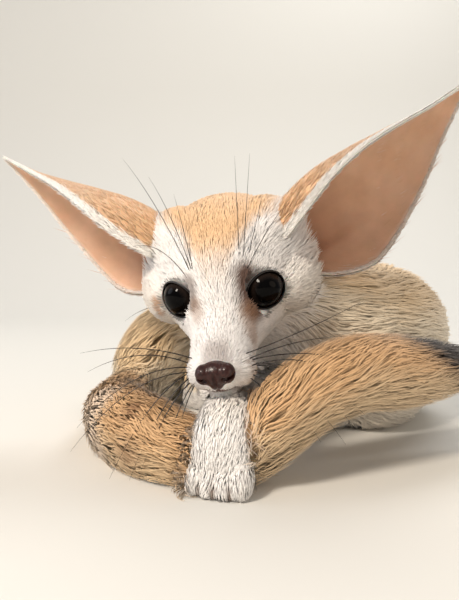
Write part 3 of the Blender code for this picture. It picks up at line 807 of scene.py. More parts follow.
nosePad = {
    "balls": [
        ((0.0, -39.0, -15.5), (6.6, 4.8, 4.8)),
        ((4.3, -40.0, -15.0), (3.3, 3.8, 3.9)),
        ((-4.3, -40.0, -15.0), (3.3, 3.8, 3.9)),
        ((0.0, -40.0, -18.2), (3.0, 3.4, 3.2)),
    ],
    "cuts": [
        ((3.9, -44.3, -16.2), (1.55, 2.4, 1.35)),
        ((6.0, -42.6, -15.6), (2.2, 1.9, 0.65)),
        ((7.6, -40.8, -15.1), (1.4, 1.8, 0.55)),
    ],
    "cell": 0.28,
    "grooveDeep": 0.9,
}


def noseOf():
    obj = joinAll("nosePad", [headBall(centre, radii) for centre, radii in nosePad["balls"]])
    applyModifier(obj, "REMESH", mode="VOXEL", voxel_size=nosePad["cell"] * mm)
    applyModifier(obj, "SMOOTH", factor=0.5, iterations=4)
    for side in (-1, 1):
        for centre, radii in nosePad["cuts"]:
            cutAway(obj, headBall(centre, radii, side, 20))
    applyModifier(obj, "REMESH", mode="VOXEL", voxel_size=nosePad["cell"] * mm)
    applyModifier(obj, "SMOOTH", factor=0.5, iterations=3)
    local = moved(pointsOf(obj), headInverse)
    groove = np.exp(-((local[:, 0] / 0.55) ** 2)) * (1 - rise(local[:, 1], -42.0, -38.0))
    groove *= 1 - rise(local[:, 2], -15.0, -12.5)
    local[:, 1] += nosePad["grooveDeep"] * groove
    setPoints(obj, moved(local, headPlace))
    obj.data.shade_smooth()
    return obj


print("nose")
nose = noseOf()


def tubeRings(points, radii, sides):
    points = np.asarray(points, float)
    ahead = unit(np.gradient(points, axis=0))
    side = unit(np.cross(ahead, np.array([0.31, 0.17, 0.93])))
    top = np.cross(side, ahead)
    angle = np.linspace(0, math.tau, sides, endpoint=False)
    ring = np.cos(angle)[None, :, None] * side[:, None] + np.sin(angle)[None, :, None] * top[:, None]
    return (points[:, None] + ring * np.asarray(radii)[:, None, None]).reshape(-1, 3)


def tubes(name, paths, sides=8):
    points, faces = [], []
    for path, radii in paths:
        faces += tubeFaces(len(path), sides, sum(len(found) for found in points))
        points.append(tubeRings(path, radii, sides))
    obj = meshPiece(name, np.vstack(points), faces)
    facesOut(obj)
    return obj


lips = {
    "half": 0.75,
    "sunk": 0.25,
    "groove": [(0.0, -42.5, -19.5), (0.0, -42.3, -21.0), (0.0, -40.8, -23.2)],
    "grooveHalf": 0.5,
    "grooveSunk": 0.1,
}


def lipsOf():  # the dark edge where the lips meet, and the groove up to the nose
    right, left = mouthHalves
    line = np.vstack([right[::-1], left[1:]])
    near, out = onSkin(moved(line, headPlace))
    along = np.linspace(-1, 1, len(line))
    radii = lips["half"] * (1.0 - 0.75 * np.abs(along) ** 3)
    groove = splineThrough(lips["groove"], 8)
    grooveNear, grooveOut = onSkin(moved(groove, headPlace))
    grooveTube = (grooveNear - grooveOut * lips["grooveSunk"], np.full(len(groove), lips["grooveHalf"]))
    return tubes("lips", [(near - out * lips["sunk"], radii), grooveTube])


lipPiece = lipsOf()

# ears

earShape = {
    "length": 104.0,
    "root": (23.5, 20.0, 14.5),
    # share of the length, half width along the curve, half the angle it curls through, shift outwards
    "rows": [
        (0.00, 27.0, 117, 5.0),
        (0.12, 39.5, 103, 7.0),
        (0.27, 44.5, 88, 8.5),
        (0.42, 38.5, 76, 8.5),
        (0.56, 29.5, 66, 8.0),
        (0.68, 21.0, 59, 7.0),
        (0.79, 12.5, 52, 5.0),
        (0.90, 6.0, 46, 2.5),
        (1.00, 0.9, 40, 0.0),
    ],
    "steps": 72,
    "spans": 48,
    "thickAt": ([0.0, 0.3, 0.8, 1.0], [2.2, 1.5, 1.0, 0.6]),
    "rimThick": 0.7,
    # folds in the cup: height, place across, width and the shares of the length where each runs out
    "folds": [
        (1.3, 0.18, 0.10, (0.25, 0.6)),
        (1.6, 0.60, 0.09, (0.22, 0.42)),
        (1.1, -0.45, 0.12, (0.15, 0.45)),
    ],
    # the way from root to tip and the way the cup opens, on each side
    "sets": {
        -1: ((0.81, 0.35, 0.46), (0.55, -0.71, -0.43)),
        1: ((0.83, 0.27, 0.48), (0.47, -0.81, -0.36)),
    },
}


def earHalf(share):  # half width along the ear's curve
    return np.interp(share, [row[0] for row in earShape["rows"]], [row[1] for row in earShape["rows"]])


def earGrid(side):
    # Middle of the ear's leaf in the head's frame, and the way into its cup.
    axis, opening = (Vector(mirrored(way, side)) for way in earShape["sets"][side])
    axis.normalize()
    opening = (opening - axis * opening.dot(axis)).normalized()
    across = axis.cross(opening)
    axis, opening, across = (np.array(way) for way in (axis, opening, across))
    rows = splineThrough(earShape["rows"], earShape["steps"] + 1)
    share, half, roll, shift = rows[:, 0], rows[:, 1], np.radians(rows[:, 2]), rows[:, 3]
    bend = half / roll
    middle = mirrored(earShape["root"], side) + axis * (earShape["length"] * share)[:, None]
    middle = middle + across * (shift * side)[:, None] - opening * (bend * (1 - np.cos(roll)) / 2)[:, None]
    angle = roll[:, None] * np.linspace(-1, 1, earShape["spans"] + 1)[None]
    around = across * np.sin(angle)[:, :, None] + opening * (1 - np.cos(angle))[:, :, None]
    inward = -across * np.sin(angle)[:, :, None] + opening * np.cos(angle)[:, :, None]
    return middle[:, None] + around * bend[:, None, None], inward


def earOf(side):
    grid, inward = earGrid(side)
    steps, spans = earShape["steps"], earShape["spans"]
    share = np.linspace(0, 1, steps + 1)[:, None]
    outerEdge = (np.linspace(-1, 1, spans + 1) * side)[None]  # 1 at the edge away from the skull
    thick = np.interp(share, *earShape["thickAt"])
    thick = earShape["rimThick"] + (thick - earShape["rimThick"]) * (1 - outerEdge**6)
    ridges = 0.25 * np.sin(share * 60 + outerEdge * 9) * np.exp(-((outerEdge / 0.8) ** 4)) * (1 - share)
    for high, at, wide, fade in earShape["folds"]:
        ridges = ridges + high * np.exp(-(((outerEdge - at) / wide) ** 2)) * (1 - rise(share, *fade))
    inner = grid + inward * (thick / 2 + ridges * (1 - outerEdge**8))[:, :, None]
    outer = grid - inward * (thick / 2)[:, :, None]
    points = np.vstack([inner.reshape(-1, 3), outer.reshape(-1, 3)])
    row, size = spans + 1, (steps + 1) * (spans + 1)
    faces = []
    for i in range(steps):
        for k in range(spans):
            a, b, c, d = i * row + k, i * row + k + 1, (i + 1) * row + k + 1, (i + 1) * row + k
            faces += [(a, b, c, d), (size + d, size + c, size + b, size + a)]
        for k in (0, spans):
            a, d = i * row + k, (i + 1) * row + k
            faces.append((d, a, size + a, size + d) if k == 0 else (a, d, size + d, size + a))
    for i in (0, steps):
        for k in range(spans):
            a, b = i * row + k, i * row + k + 1
            faces.append((a, b, size + b, size + a) if i else (b, a, size + a, size + b))
    obj = meshPiece(sideName("ear", side), moved(points, headPlace), faces)
    facesOut(obj)
    return obj


print("ears")
earTrees = {}
for obj, side in [(earOf(side), side) for side in (-1, 1)]:
    earFaces = [list(polygon.vertices) for polygon in obj.data.polygons]
    earTrees[side] = BVHTree.FromPolygons(pointsOf(obj).tolist(), earFaces)
    applyModifier(skin, "BOOLEAN", operation="UNION", solver="MANIFOLD", object=obj)
    bpy.data.objects.remove(obj)

earColours = {
    "skin": "#c99c7c",
    # deep: colour of the painted shade deep in the cup
    "deep": "#8a5840",
    "flush": "#dfbba2",
    "rim": "#faf6f0",
    "back": "#e3c0a0",
    "backLow": "#e0b58a",
}
earInk = {name: linear(value) for name, value in earColours.items()}


def earTint(side, points):
    # Colours of places on an ear, from where they are along it, across it and inside or outside.
    grid, inward = earGrid(side)
    flat, ways = moved(grid.reshape(-1, 3), headPlace), inward.reshape(-1, 3) @ np.array(headTurn).T
    tree = KDTree(len(flat))
    for i, place in enumerate(flat.tolist()):
        tree.insert(place, i)
    tree.balance()
    best = np.array([tree.find(point)[1] for point in points.tolist()])
    share = (best // (earShape["spans"] + 1)) / earShape["steps"]
    signed = ((best % (earShape["spans"] + 1)) / earShape["spans"] * 2 - 1) * side  # 1 at the outer edge
    across = np.abs(signed)
    margin = (1 - across) * earHalf(share)  # distance from the nearer edge
    band = np.where(signed < 0, 0.95 * (1 - rise(margin, 2.0, 4.0)), 0.7 * (1 - rise(margin, 0.6, 2.4)))
    inside = rise(((points - flat[best]) * ways[best]).sum(1), -0.1, 0.2)
    mottle = 0.5 + 0.5 * wavering(points, 30.0, 5)
    flush = 0.5 * mottle * rise(share, 0.1, 0.5) + 0.3 * rise(signed, 0.3, 0.9)
    inner = washed(earInk["skin"][None], earInk["flush"], flush)
    # painted shade deep in the cup: darker towards the root and away from the edges
    funnelShade = (1 - rise(share, 0.02, 0.40)) * (1 - rise(across, 0.55, 1.0))
    inner = washed(inner, earInk["deep"], 0.85 * funnelShade)
    outer = washed(earInk["backLow"][None], earInk["back"], rise(share, 0.05, 0.5))
    return washed(washed(outer, inner, inside), earInk["rim"], band)


def paintSkin():
    points = pointsOf(skin)
    normals = np.empty(len(points) * 3)
    skin.data.vertices.foreach_get("normal", normals)
    # the skin is painted at 0.92 of the coat's markings: painted shade under the hair
    colours = markings(points, normals.reshape(-1, 3), bodyAt(points)) * 0.92
    for side, tree in earTrees.items():
        tip = headPlace @ Vector(mirrored(earShape["root"], side))
        close = np.linalg.norm(points - np.array(tip), axis=1) < earShape["length"] * 1.2
        index = np.nonzero(close)[0]
        on = np.array([tree.find_nearest(point)[3] < 0.05 for point in points[index].tolist()])
        index = index[on]
        colours[index] = earTint(side, points[index])
    paint(skin, colours)
    skin.data.shade_smooth()


paintSkin()
print("skin", len(skin.data.polygons), "faces")

# tufts

# shares of the width at each ring, least heights of edge and middle line, size of a tuft on the unwrap
tuft = {"profile": (0.8, 1.0), "lowest": 0.05, "lowestMiddle": 0.3, "patch": 0.003}


def tuftPiece(name, places, outs, width, thick, tint, shade, uv, own):
    # Closed flat tufts through rings of three points and a tip, all in one mesh.
    count, levels = len(width), len(places)
    rings, facing = [], []
    for i in range(levels - 1):
        lie = unit(places[i + 1] - places[i])
        side = unit(np.cross(lie, outs[i]))
        ridge = np.cross(side, lie)
        here, half = places[i], (width * tuft["profile"][i] / 2)[:, None]
        rings.append(np.stack([here - side * half, here + ridge * half * thick, here + side * half], 1))
        if own is not None:
            soft = outs[i] + ridge * own
            facing.append(np.stack([soft - side * own, soft, soft + side * own], 1))
    points = np.concatenate([*rings, places[-1][:, None]], 1)
    points[:, :, 2] = np.maximum(points[:, :, 2], tuft["lowest"])
    each = points.shape[1]
    one = [(0, 2, 1)]
    for i in range(levels - 2):
        for j in range(3):
            m = (j + 1) % 3
            low, high = 3 * i, 3 * (i + 1)
            one += [(low + j, low + m, high + m), (low + j, high + m, high + j)]
    one += [(3 * (levels - 2) + j, 3 * (levels - 2) + (j + 1) % 3, each - 1) for j in range(3)]
    faces = (np.array(one)[None] + (np.arange(count) * each)[:, None, None]).reshape(-1, 3)
    mesh = bpy.data.meshes.new(name)
    mesh.vertices.add(count * each)
    mesh.vertices.foreach_set("co", (points * mm).astype(np.float32).ravel())
    mesh.loops.add(faces.size)
    mesh.loops.foreach_set("vertex_index", faces.ravel().astype(np.int32))
    mesh.polygons.add(len(faces))
    mesh.polygons.foreach_set("loop_start", np.arange(0, faces.size, 3, dtype=np.int32))
    mesh.update(calc_edges=True)
    mesh.shade_smooth()
    if own is not None:  # shaded softly, as one coat
        facing = unit(np.concatenate([*facing, (outs[-1] + lie * 0.3)[:, None]], 1))
        mesh.normals_split_custom_set_from_vertices(facing.reshape(-1, 3).tolist())
    obj = bpy.data.objects.new(name, mesh)
    bpy.context.scene.collection.objects.link(obj)
    level = np.array([i for i in range(levels - 1) for _ in range(3)] + [levels - 1])
    # painted shade: each tuft darker at the root, deep in the coat, and lighter at the tip
    paintedRootShade = np.array(shade)[level]
    paint(obj, (tint[:, None] * paintedRootShade[None, :, None]).reshape(-1, 3))
    across = np.array([0.0, 0.5, 1.0] * (levels - 1) + [0.5]) - 0.5
    patch = np.column_stack([across, level / (levels - 1) - 0.5]) * tuft["patch"]
    layer = mesh.uv_layers.new(name="OFBake")
    spots = (uv[:, None] + patch[None]).reshape(-1, 2)
    layer.data.foreach_set("uv", spots[faces.ravel()].astype(np.float32).ravel())
    return obj


def layDown(root, normal, flow, length, depth, stand, straight, shares, heights):
    # Steps along the skin from each root, lifted through the coat. Some run straight on into a leg.
    here, out, way = root, normal, unit(flow - normal * dot(flow, normal))
    places, outs = [], []
    for i, share in enumerate(shares):
        if i:
            ahead = here + way * (length * (share - shares[i - 1]))[:, None]
            near, facing = onSkin(ahead)
            here, out = (np.where(straight[:, None], *pair) for pair in ((ahead, near), (out, facing)))
            way = unit(way - out * dot(way, out))
        high = depth * heights[i] + stand * length * share**1.5
        place = here + out * high[:, None]
        place[:, 2] = np.maximum(place[:, 2], tuft["lowestMiddle"])
        places.append(place)
        outs.append(out)
    return places, outs


def gathered(places, reach, pull):
    # Draws the tips of neighbouring tufts together, as hairs cling.
    tips = places[-1]
    leaders = draw.choice(len(tips), max(1, len(tips) // reach), replace=False)
    tree = KDTree(len(leaders))
    for i, leader in enumerate(leaders):
        tree.insert(places[1][leader].tolist(), i)
    tree.balance()
    near = leaders[np.array([tree.find(place)[1] for place in places[1].tolist()])]
    for i in range(1, len(places)):
        share = pull * (i / (len(places) - 1)) ** 1.5
        places[i] = places[i] + (places[i][near] - places[i]) * share
    return places


# tufts per square mm, length and width, and how far tips stand beyond the coat's depth
coat = {
    "head": {
        "back": [-38, -15, 5, 25, 50],
        "dense": [4.6, 3.8, 3.0, 1.8, 0.8],
        "long": [2.2, 3.2, 4.6, 7.5, 11.0],
        "wide": [0.28, 0.34, 0.42, 0.60, 0.95],
    },
    "neck": {"dense": 0.95, "long": 16.0, "wide": 0.70, "deep": 5.0},
    "trunk": {"dense": 0.58, "long": 17.0, "wide": 0.80, "deep": 6.5},
    "tail": {"dense": 1.15, "long": 15.0, "wide": 0.55, "deep": 5.5},
    "leg": {"dense": 2.7, "long": 6.0, "wide": 0.46, "deep": 1.3},
    "haunch": {"dense": 0.55, "long": 13.0, "wide": 0.95, "deep": 4.0},
    "varies": {"long": (0.7, 1.25), "wide": (0.7, 1.3), "deep": (0.55, 1.05), "tone": (0.93, 1.07)},
    # added where the cheeks' ruff and the hair before the ears grow
    "ruff": {"long": 9.0, "deep": 1.4},
    "ears": {"long": 7.0, "deep": 1.2},
    "shortBelow": 8.0,
    "crossing": 0.45,  # share of its length left to a tuft that would run over a leg
    "thick": 0.35,
    "perPiece": 19000,
    "quickShare": 0.12,
}
nosePadArea = {"centre": (0.0, -40.0, -15.8), "radii": (7.6, 5.2, 5.6)}  # no tufts grow in there


def sizesAt(found, name):
    head = coat["head"]
    back = found["inHead"][:, 1]
    if name == "deep":
        value = found["shares"][0] * np.interp(back, *skull["coatAt"])
    else:
        value = found["shares"][0] * np.interp(back, head["back"], head[name])
    for share, kind in zip(found["shares"][1:], kinds[1:]):
        value = value + share * coat[kind][name]
    return value


def bareAt(found):
    # Places with no coat: between the lids and on the nose.
    inHead = found["inHead"]
    pad = (inHead - np.array(nosePadArea["centre"])) / np.array(nosePadArea["radii"])
    bare = np.linalg.norm(pad, axis=1) < 1.0
    for side in (-1, 1):
        bare |= lidRatio(inHead, side) < 1.0
    return bare


def seedRoots():
    # Places spread over the skin, thicker where the coat is finer, with what is known of each.
    a, b, c = (layPoints[layFaces[:, i]] for i in range(3))
    area = np.linalg.norm(np.cross(b - a, c - a), axis=1) / 2
    centre = (a + b + c) / 3
    normals = unit(np.cross(b - a, c - a))
    under = (centre[:, 2] < 3.0) & (normals[:, 2] < -0.5)
    wanted = area * sizesAt(bodyAt(centre), "dense") * np.where(under, 0.0, 1.0)
    share = 1.0
    count = int(wanted.sum() * share)
    face = draw.choice(layCount, count, p=wanted / wanted.sum())
    u, v = np.sqrt(draw.random(count)), draw.random(count)
    weights = np.column_stack([1 - u, u * (1 - v), u * v])
    root = sum(weights[:, i, None] * layPoints[layFaces[face, i]] for i in range(3))
    normal = unit(sum(weights[:, i, None] * layNormals[layFaces[face, i]] for i in range(3)))
    uv = sum(weights[:, i, None] * layUv[face, i] for i in range(3))
    found = bodyAt(root)
    keep = ~bareAt(found)
    found = {name: value[:, keep] if name == "shares" else value[keep] for name, value in found.items()}
    return root[keep], normal[keep], uv[keep], found


def ruffAt(found):  # 1 in the long hair of the cheeks
    x, y, z = found["inHead"].T
    ruff = found["shares"][0] * rise(np.abs(x), 18, 27) * rise(y, 3, 14) * (1 - rise(z, 22, 34))
    return ruff * (1 - rise(y, 18, 30))


def toeShare(root):  # hair is shorter on the toes, so that each of them shows
    share = np.ones(len(root))
    for rows in legs.values():
        gap = np.linalg.norm(root - (np.array(rows[-1][:3]) + np.array(underEyes)), axis=1)
        share *= 0.65 + 0.35 * rise(gap, 9.0, 15.0)
    return share


def combed(root, normal, found, ruff):  # along the body, wandering a little, hanging on trunk and cheeks
    flow, shares, headZ = found["flow"], found["shares"], found["inHead"][:, 2]
    side = unit(np.cross(flow, normal))
    wander = 0.22 * wavering(root, 26.0, 1) + 0.14 * wavering(root, 9.0, 2)
    flow = unit(flow + side * (wander + draw.normal(0, 0.10, len(root)))[:, None])
    flow = flow + np.array([0.0, 0.0, -0.12]) * (shares[1] + shares[2])[:, None]
    return unit(flow + np.array([0.0, 0.0, -0.9]) * (ruff * (1 - rise(headZ, -8, 4)))[:, None])


def roundLids(root, flow):  # hair lies round the lids and is shortest at them
    share = np.ones(len(root))
    for side in (-1, 1):
        radial = root - np.array(headPlace @ Vector(mirrored(eye["centre"], side)))
        lidGap = np.linalg.norm(radial, axis=1) - eye["radius"]
        into = np.minimum((flow * unit(radial)).sum(1), 0.0) * (1 - rise(lidGap, 2.0, 9.0))
        flow = unit(flow - unit(radial) * 1.1 * into[:, None])
        share *= 0.5 + 0.5 * rise(lidGap, 1.0, 8.0)
    return flow, share


def towardsEars(inHead, flow):  # longer hair hides where the ear's front edge meets the head
    near = np.zeros(len(inHead))
    for side in (-1, 1):
        edge, _ = earGrid(side)
        foot = edge[:6, 0 if side > 0 else -1].mean(0)
        close = 1 - rise(np.linalg.norm(inHead - foot, axis=1), 4.0, 15.0)
        close *= 1 - rise(inHead[:, 1], 16, 26)
        earWay = np.array(headTurn @ Vector(mirrored(earShape["sets"][side][0], side)))
        flow = unit(flow + earWay * (1.6 * close)[:, None])
        near = np.maximum(near, close)
    return flow, near


def standing(found, fluffy):  # how far tips lift off the skin, as a share of their length
    x, y, _ = found["inHead"].T
    shares = found["shares"]
    stand = np.abs(draw.normal(0, 0.05, len(x))) * (1 - shares[0] * 0.4)
    pads = rise(np.abs(x), 5, 10) * (1 - rise(y, -24, -14)) * shares[0]
    return stand + draw.random(len(x)) * (0.38 * fluffy + 0.14 * shares[legKind] + 0.35 * pads)


print("coat")
root, normal, uv, found = seedRoots()
count = len(root)
length = sizesAt(found, "long") * draw.uniform(*coat["varies"]["long"], count)
width = sizesAt(found, "wide") * draw.uniform(*coat["varies"]["wide"], count)
deep = sizesAt(found, "deep") * draw.uniform(*coat["varies"]["deep"], count)
ruff = ruffAt(found)
length = (length + coat["ruff"]["long"] * ruff) * toeShare(root)
tint = markings(root, normal, found)
tint *= draw.uniform(*coat["varies"]["tone"], (count, 1)) * (1 + 0.05 * wavering(root, 9.0, 3))[:, None]
flow = combed(root, normal, found, ruff)
flow, lidShare = roundLids(root, flow)
flow, nearEars = towardsEars(found["inHead"], flow)
length = length * lidShare + coat["ears"]["long"] * nearEars
deep += coat["ruff"]["deep"] * ruff + coat["ears"]["deep"] * nearEars
reachShares = bodyAt(root + unit(flow) * length[:, None])["shares"]
crosses = (found["shares"][legKind] < 0.35) & (reachShares[legKind] > 0.15)
length = np.where(crosses, length * coat["crossing"], length)
stand = standing(found, np.maximum(ruff, nearEars))
kindOf = found["shares"].argmax(0)
print(count, "tufts on the body")


def region(name, chosen, style, reach, pull):
    index = np.nonzero(chosen)[0]
    index = index[np.argsort(uv[index, 0])]
    made = []
    for part, start in enumerate(range(0, len(index), coat["perPiece"])):
        pick = index[start : start + coat["perPiece"]]
        lie = [table[pick] for table in (root, normal, flow, length, deep, stand, crosses)]
        places, outs = layDown(*lie, style["steps"], style["heights"])
        if reach:
            places = gathered(places, reach, pull)
        look = (tint[pick], style["paintedRootShade"], uv[pick], style["own"])
        made.append(tuftPiece(f"{name}{part + 1}", places, outs, width[pick], coat["thick"], *look))
        print(name, part + 1, len(pick))
    return made


# places along a tuft, heights there as shares of the coat's depth, painted shade from the darker root to
# the lighter tip, and its own roundness
shortCoat = {
    "steps": (0.0, 0.5, 1.0),
    "heights": (-0.3, 0.92, 0.97),
    "paintedRootShade": (0.95, 1.0, 1.03),
    "own": 0.25,
}
longCoat = {
    "steps": (0.0, 0.45, 1.0),
    "heights": (-0.2, 0.84, 0.97),
    "paintedRootShade": (0.94, 0.99, 1.04),
    "own": 0.35,
}
short = length < coat["shortBelow"]
# piece, its tufts, their style, how many cling together and how closely
regions = [
    ("coatFace", short & (kindOf == 0), shortCoat, None, 0.0),
    ("coatLegs", short & (kindOf != 0), shortCoat, 5, 0.12),
    ("coatRuff", ~short & (kindOf == 0), longCoat, 6, 0.4),
    ("coatNeck", ~short & (kindOf == 1), longCoat, 8, 0.4),
    ("coatTrunk", ~short & (kindOf == 2), longCoat, 8, 0.28),
    ("coatTail", ~short & (kindOf == tailKind), longCoat, 7, 0.18),
    ("coatHaunch", ~short & (kindOf > tailKind), longCoat, 8, 0.4),
]
coatPieces = [piece for row in regions for piece in region(*row)]

# ear coat

earCoat = {"behind": 6500, "rim": 3800, "cup": 2400, "wide": 0.42, "thick": 0.4, "quickShare": 0.4}
# the ear's tufts carry the same painted shade, darker at the root and lighter at the tip
earTuft = {"steps": (0.0, 0.5, 1.0), "heights": (-0.2, 0.8, 1.2), "paintedRootShade": (0.92, 1.0, 1.05), "own": 0.25}


def onEar(side, u, v):  # place, way in, way along and way across at shares u along and v across
    grid, inward = earGrid(side)
    i, k = u * earShape["steps"], v * earShape["spans"]
    low = np.minimum(i.astype(int), earShape["steps"] - 1)
    left = np.minimum(k.astype(int), earShape["spans"] - 1)
    fu, fv = (i - low)[:, None], (k - left)[:, None]

    def mix(table):
        first = table[low, left] * (1 - fv) + table[low, left + 1] * fv
        return first * (1 - fu) + (table[low + 1, left] * (1 - fv) + table[low + 1, left + 1] * fv) * fu

    along = unit(grid[low + 1, left] - grid[low, left])
    across = unit(grid[low, left + 1] - grid[low, left])
    return mix(grid), unit(mix(inward)), along, across


def earTufts(side, inner, u, v, length, width, alongBy, acrossBy, lift, tint):
    place, into, along, across = onEar(side, u, v)
    out = into if inner else -into
    way = unit(along * alongBy + across * np.asarray(acrossBy)[:, None])
    thick = np.interp(u, *earShape["thickAt"]) / 2
    place = place + out * (thick * (0.6 if inner else 0.9))[:, None]
    rings = []
    for step, high in zip(earTuft["steps"], earTuft["heights"]):
        ring = place + way * (length * step)[:, None] + out * (lift * high)[:, None]
        rings.append(moved(ring, headPlace))
    tone = draw.uniform(*coat["varies"]["tone"], (len(u), 1))
    spot = np.column_stack([v * 0.45 + (0.5 if inner else 0.02), u * 0.9 + 0.04])
    out = out @ np.array(headTurn).T
    return {"rings": rings, "out": out, "width": width, "tint": tint * tone, "spot": spot}


def earBack(side, share):  # short hair behind, white at the edge next to the crown
    n = int(earCoat["behind"] * share)
    u, v = draw.random(n) ** 0.8 * 0.99, draw.random(n)
    keep = draw.random(n) < earHalf(u) / 40 + 0.15
    u, v = u[keep], v[keep]
    n = len(u)
    across = v * 2 - 1
    gap = (1 - np.abs(across)) * earHalf(u)
    band = np.where(across * side < 0, 0.95 * (1 - rise(gap, 2.0, 4.5)), 0.4 * (1 - rise(gap, 0.6, 2.5)))
    tint = washed(washed(earInk["backLow"][None], earInk["back"], rise(u, 0.05, 0.5)), earInk["rim"], band)
    size = draw.uniform(3.0, 5.5, n) * (1.4 - u)
    wide = np.full(n, earCoat["wide"]) * draw.uniform(0.8, 1.3, n)
    return earTufts(side, False, u, v, size, wide, 1.0, draw.normal(0, 0.15, n), np.full(n, 0.35), tint)


def earRims(side, share):  # velvet over both edges, white and thickest on the one next to the crown
    n = int(earCoat["rim"] * share)
    u = draw.random(n) * 0.98 + 0.01
    high = draw.random(n) < 0.5
    outward = np.where(high, 1.0, -1.0)
    medial = outward * side < 0
    reach = np.where(medial, 3.2, 1.4) / earHalf(u) / 2
    made = []
    for inner in (True, False):
        inset = draw.random(n) ** 1.3 * np.minimum(reach, 0.5)
        v = np.where(high, 1 - inset, inset)
        size = np.where(medial, draw.uniform(2.2, 4.2, n), draw.uniform(1.2, 2.4, n)) * (1.15 - 0.5 * u)
        way = outward * draw.uniform(-0.15, 0.5, n)
        # the fringe on the edge away from the skull is nearly white: partly its own pale hair, partly
        # painted light shining through the thin edge
        tint = washed(earInk["rim"][None], earInk["skin"], np.where(medial, 0.0, 0.25))
        lift = draw.uniform(0.2, 0.45, n)
        made.append(earTufts(side, inner, u, v, size, np.full(n, 0.30), 1.0, way, lift, tint))
    return made


def earCup(side, share):  # soft hairs from low in the cup, sweeping out along it
    n = int(earCoat["cup"] * share)
    u = draw.random(n) ** 1.2 * 0.7 + 0.02
    v = draw.random(n)
    v = np.where(draw.random(n) < 0.7, v * 0.6, v)
    v = v if side > 0 else 1 - v
    size = draw.uniform(6, 15, n) * (1.1 - 0.7 * u)
    pale = 0.7 * draw.random(n) ** 2 * (1 - rise(u, 0.15, 0.8))
    tint = washed(earInk["skin"][None] * 0.97, earInk["rim"], pale)
    way = side * draw.uniform(0.1, 0.5, n)
    return earTufts(side, True, u, v, size, np.full(n, 0.20), 0.9, way, np.full(n, 0.2), tint)


def earCoatOf(side):
    share = 1.0
    crisp = [earBack(side, share), *earRims(side, share)]
    soft = [earCup(side, share)]
    made = []
    for number, (tufts, own) in enumerate(((crisp, None), (soft, earTuft["own"]))):
        rings = [np.vstack([part["rings"][i] for part in tufts]) for i in range(3)]
        out, tint, spot = (np.vstack([part[key] for part in tufts]) for key in ("out", "tint", "spot"))
        width = np.concatenate([part["width"] for part in tufts])
        name = sideName("coatEar", side) + str(number + 1)
        look = (tint, earTuft["paintedRootShade"], spot, own)
        made.append(tuftPiece(name, rings, [out] * 3, width, earCoat["thick"], *look))
    return made


print("coat of the ears")
coatPieces += earCoatOf(-1) + earCoatOf(1)

# whiskers and claws

# starts in the head's frame, then the tip's way out, up and forward from there and how far the hair sags
whiskerSettings = {
    "rings": 14,
    "sides": 6,
    "thick": 0.25,
    "lowest": 0.8,
    "groups": {"pad": 1.0, "brow": 0.75, "cheek": 0.7},  # thickness beside the longest ones
    "pad": {
        1: [
            ((10.5, -29.0, -13.5), 46, 20, 0, -1),
            ((11.0, -30.0, -15.5), 36, 9, 2, 2),
            ((11.5, -29.0, -16.5), 47, -2, 5, 4),
            ((11.0, -31.0, -18.0), 43, -7, 6, 6),
            ((12.0, -28.0, -18.5), 42, -18, 9, 6),
            ((11.5, -30.0, -20.0), 35, -26, 11, 6),
            ((11.0, -31.5, -21.0), 26, -24, 10, 5),
            ((10.5, -32.0, -22.0), 15, -21, 7, 4),
            ((12.5, -26.0, -20.5), 37, -22, 10, 7),
        ],
        -1: [
            ((10.5, -29.0, -13.5), 44, 2, 0, 3),
            ((11.0, -30.0, -15.5), 40, -3, 0, 5),
            ((11.5, -29.0, -17.5), 45, -23, 5, 7),
            ((11.5, -31.0, -18.5), 45, -29, 8, 8),
            ((12.0, -28.5, -19.5), 37, -47, 14, 8),
            ((11.5, -30.0, -20.5), 27, -44, 14, 7),
            ((11.0, -31.5, -21.5), 19, -32, 12, 5),
            ((10.5, -32.0, -22.0), 12, -30, 11, 4),
            ((10.0, -32.5, -22.5), 6, -16, 7, 2),
        ],
    },
    "brow": {
        1: [
            ((10.2, -7.6, 13.9), -2, 46, -8, 0),
            ((11.3, -7.2, 13.7), 3, 46, -8, 0),
            ((12.4, -7.0, 13.0), 7, 29, -7, 0),
            ((13.0, -6.8, 12.6), 18, 29, -8, 2),
        ],
        -1: [
            ((10.2, -7.3, 14.6), 28, 47, -8, 3),
            ((9.4, -7.4, 15.2), 18, 38, -8, 3),
            ((11.6, -7.8, 11.6), 24, 13, -7, 5),
            ((8.8, -7.4, 15.4), 8, 31, -7, 1),
        ],
    },
    "cheek": {1: [((25.0, 8.0, -7.0), 20, -1, 0, 2)], -1: [((25.0, 8.0, -7.0), 22, -6, 0, 3)]},
}


def whiskersOf():
    share = np.linspace(0, 1, whiskerSettings["rings"])[:, None]
    paths = []
    for group, thin in whiskerSettings["groups"].items():
        for side, rows in whiskerSettings[group].items():
            for start, *ways in rows:
                start = np.array(headPlace @ Vector(mirrored(start, side)))
                above = min(1.0, (start[2] - 1.2) / max(-ways[1], 1.0))  # ends just over the floor
                out, up, forward, sag = (value * above * draw.uniform(0.96, 1.0) for value in ways)
                path = start + np.array([out * side, 0.0, up]) * share
                path[:, 2:] += 4 * sag * share * (1 - share)
                path[:, 1:2] -= forward * share**0.8
                path[:, 2] = np.maximum(path[:, 2], whiskerSettings["lowest"])
                radii = whiskerSettings["thick"] * thin * (1 - 0.85 * share[:, 0] ** 1.6)
                paths.append((path, radii))
    return tubes("whiskers", paths, whiskerSettings["sides"])


claw = {"length": 6.5, "radius": 1.0, "rings": 8, "sunk": 2.0, "lift": 0.8, "drops": 2.4, "steep": 0.3}


